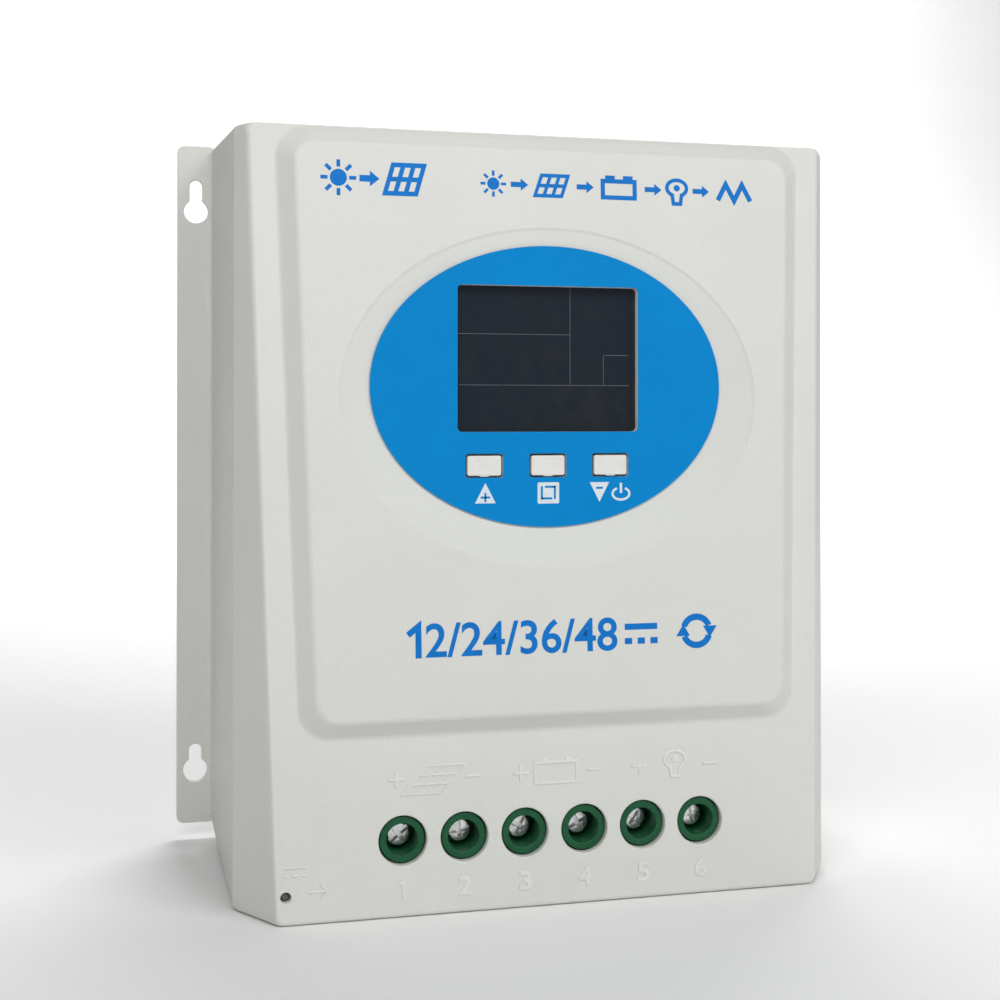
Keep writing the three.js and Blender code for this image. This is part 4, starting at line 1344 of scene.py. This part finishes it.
# The small output's marks: the direct-current sign, and an arrow that points to the side.
output_marks = direct_current(-80.4, -109.0, 3.0, 2.4, 0.35, 2.6, FINE_LINE)
output_marks += [
    (bar(-76.4, -116.4, -71.6, -116.4, FINE_LINE), []),
    ribbon([(-72.9, -114.3), (-70.6, -116.4), (-72.9, -118.5)], FINE_LINE),
]
raised("raised_output_marks", output_marks)


def sun(u, v, radius, rays=8):
    """A disc with short rays round it."""
    loops = [oval((u, v), radius * 0.5, radius * 0.5, 40)]
    for k in range(rays):
        angle = 2 * pi * k / rays
        x, z = radius * cos(angle), radius * sin(angle)
        ray = (u + x * 0.74, v + z * 0.74, u + x * 0.94, v + z * 0.94)
        loops.append(bar(*ray, radius * 0.22))
    return unpierced(loops)


def arrow(u, v, length, width):
    """An arrow to the right as one outline."""
    arm, head = width / 2, width * 1.5
    neck = u + length - head
    return ([
        (u, v - arm), (neck, v - arm), (neck, v - head * 0.8), (u + length, v),
        (neck, v + head * 0.8), (neck, v + arm), (u, v + arm),
    ], [])


HEADER_Z = 96.2
left_header = sun(-66.8, HEADER_Z + 0.1, 5.2)
left_header.append(arrow(-60.4, HEADER_Z + 0.1, 6.2, 2.0))
left_header.append(panel_symbol(-52.6, -43.0, 92.0, 100.8, 2.6, 3, 2, 1.45))
ink("left_header_print", left_header)

icons = sun(-18.6, HEADER_Z, 3.9)
icons += [arrow(u, HEADER_Z, 5.6, 1.6) for u in (-13.0, 8.4, 31.0, 47.2)]
icons.append(panel_symbol(-5.2, 3.4, 93.0, 99.4, 2.2, 3, 2, 1.15))
icons.append(battery_symbol(17.0, 27.6, 93.2, 98.4, 1.4))
icons += bulb_symbol(41.8, 97.0, 2.9, 1.2)
icons.append(ribbon([(61.4 + 2.8 * k, 98.8 if k % 2 else 93.6) for k in range(-2, 3)], 1.6))
ink("right_header_print", icons)

RATING_LINE = 1.9
RATING_Z = (-48.6, -38.2)
one = ribbon([(-46.8, -41.6), (-43.6, -39.1), (-43.6, RATING_Z[0])], RATING_LINE)
ink("rating_one", [one])
numerals("rating_numerals", "2/24/36/48", (-41.4, 19.2), RATING_Z, INK, on_panel, PRINT, 0.014)

# The direct-current sign, and two bent arrows that chase each other.
symbols = direct_current(27.0, -41.4, 4.4, 4.4, 0.25, 4.2, RATING_LINE)
cycle = (45.4, -43.4)
barb = ((2.2, 1.5), (4.4, -2.2), (6.8, 1.5))
for side, start, end in ((1, 22, 160), (-1, 202, 340)):
    head = [(cycle[0] + side * u, cycle[1] + side * v) for u, v in barb]
    symbols += unpierced([arc_stroke(cycle, 4.4, 4.4, 2.0, start, end), head])
ink("rating_symbols", symbols)

# ---- Studio ----

FLOOR_Z = (FRONT_BOTTOM - 0.25) * MM
FLOOR_FRONT, FLOOR_BEND, BEND_RADIUS = -2.2, 1.2, 0.8
FLOOR_HALF_WIDTH = 3.0
SCREEN_TOP = 3.0


def studio():
    """A pale paper floor that bends up into a screen behind the object, in metres."""
    sweep = [(FLOOR_FRONT, 0.0), (FLOOR_BEND, 0.0)]
    for i in range(1, 13):
        angle = pi / 2 * i / 12
        rise = BEND_RADIUS * (1 - cos(angle))
        sweep.append((FLOOR_BEND + BEND_RADIUS * sin(angle), rise))
    sweep.append((FLOOR_BEND + BEND_RADIUS, SCREEN_TOP))
    bm = bmesh.new()
    sides = (-FLOOR_HALF_WIDTH, FLOOR_HALF_WIDTH)
    rows = [[bm.verts.new((x, y, FLOOR_Z + z)) for y, z in sweep] for x in sides]
    for i in range(len(sweep) - 1):
        bm.faces.new((rows[0][i], rows[0][i + 1], rows[1][i + 1], rows[1][i]))
    floor = finish_mesh(bm, "studio_floor")
    for polygon in floor.data.polygons:
        polygon.use_smooth = True
    paper = Look("studio_paper", (0.93, 0.93, 0.93, 1.0), 0.9).mottle(300, 0.01).grain(2, 0.02)
    floor.data.materials.append(paper.material)


def lamp(name, place, target, size, power, spread=180):
    """A rectangular lamp that looks at a target. Places and sizes are in metres."""
    data = bpy.data.lights.new(name, "AREA")
    data.shape = "RECTANGLE"
    data.size, data.size_y = size
    data.energy = power
    data.spread = radians(spread)
    obj = bpy.data.objects.new(name, data)
    obj.location = place
    obj.rotation_euler = (Vector(target) - Vector(place)).to_track_quat("-Z", "Y").to_euler()
    scene.collection.objects.link(obj)


studio()
lamp("key_light", (0.8, -1.4, 1.0), (0, 0, 0.02), (1.3, 1.1), 14.3)
lamp("fill_light", (-0.33, -0.75, 0.62), (0, 0, 0), (0.5, 0.5), 3.7)
lamp("background_light", (0.5, 1.1, 1.5), (0.5, 1.4, -0.1), (1.4, 0.8), 26, 150)

world = bpy.data.worlds.new("studio_world")
world.use_nodes = True
backdrop = world.node_tree.nodes["Background"]
backdrop.inputs["Color"].default_value = (1.0, 1.0, 1.0, 1.0)
backdrop.inputs["Strength"].default_value = 0.1
scene.world = world
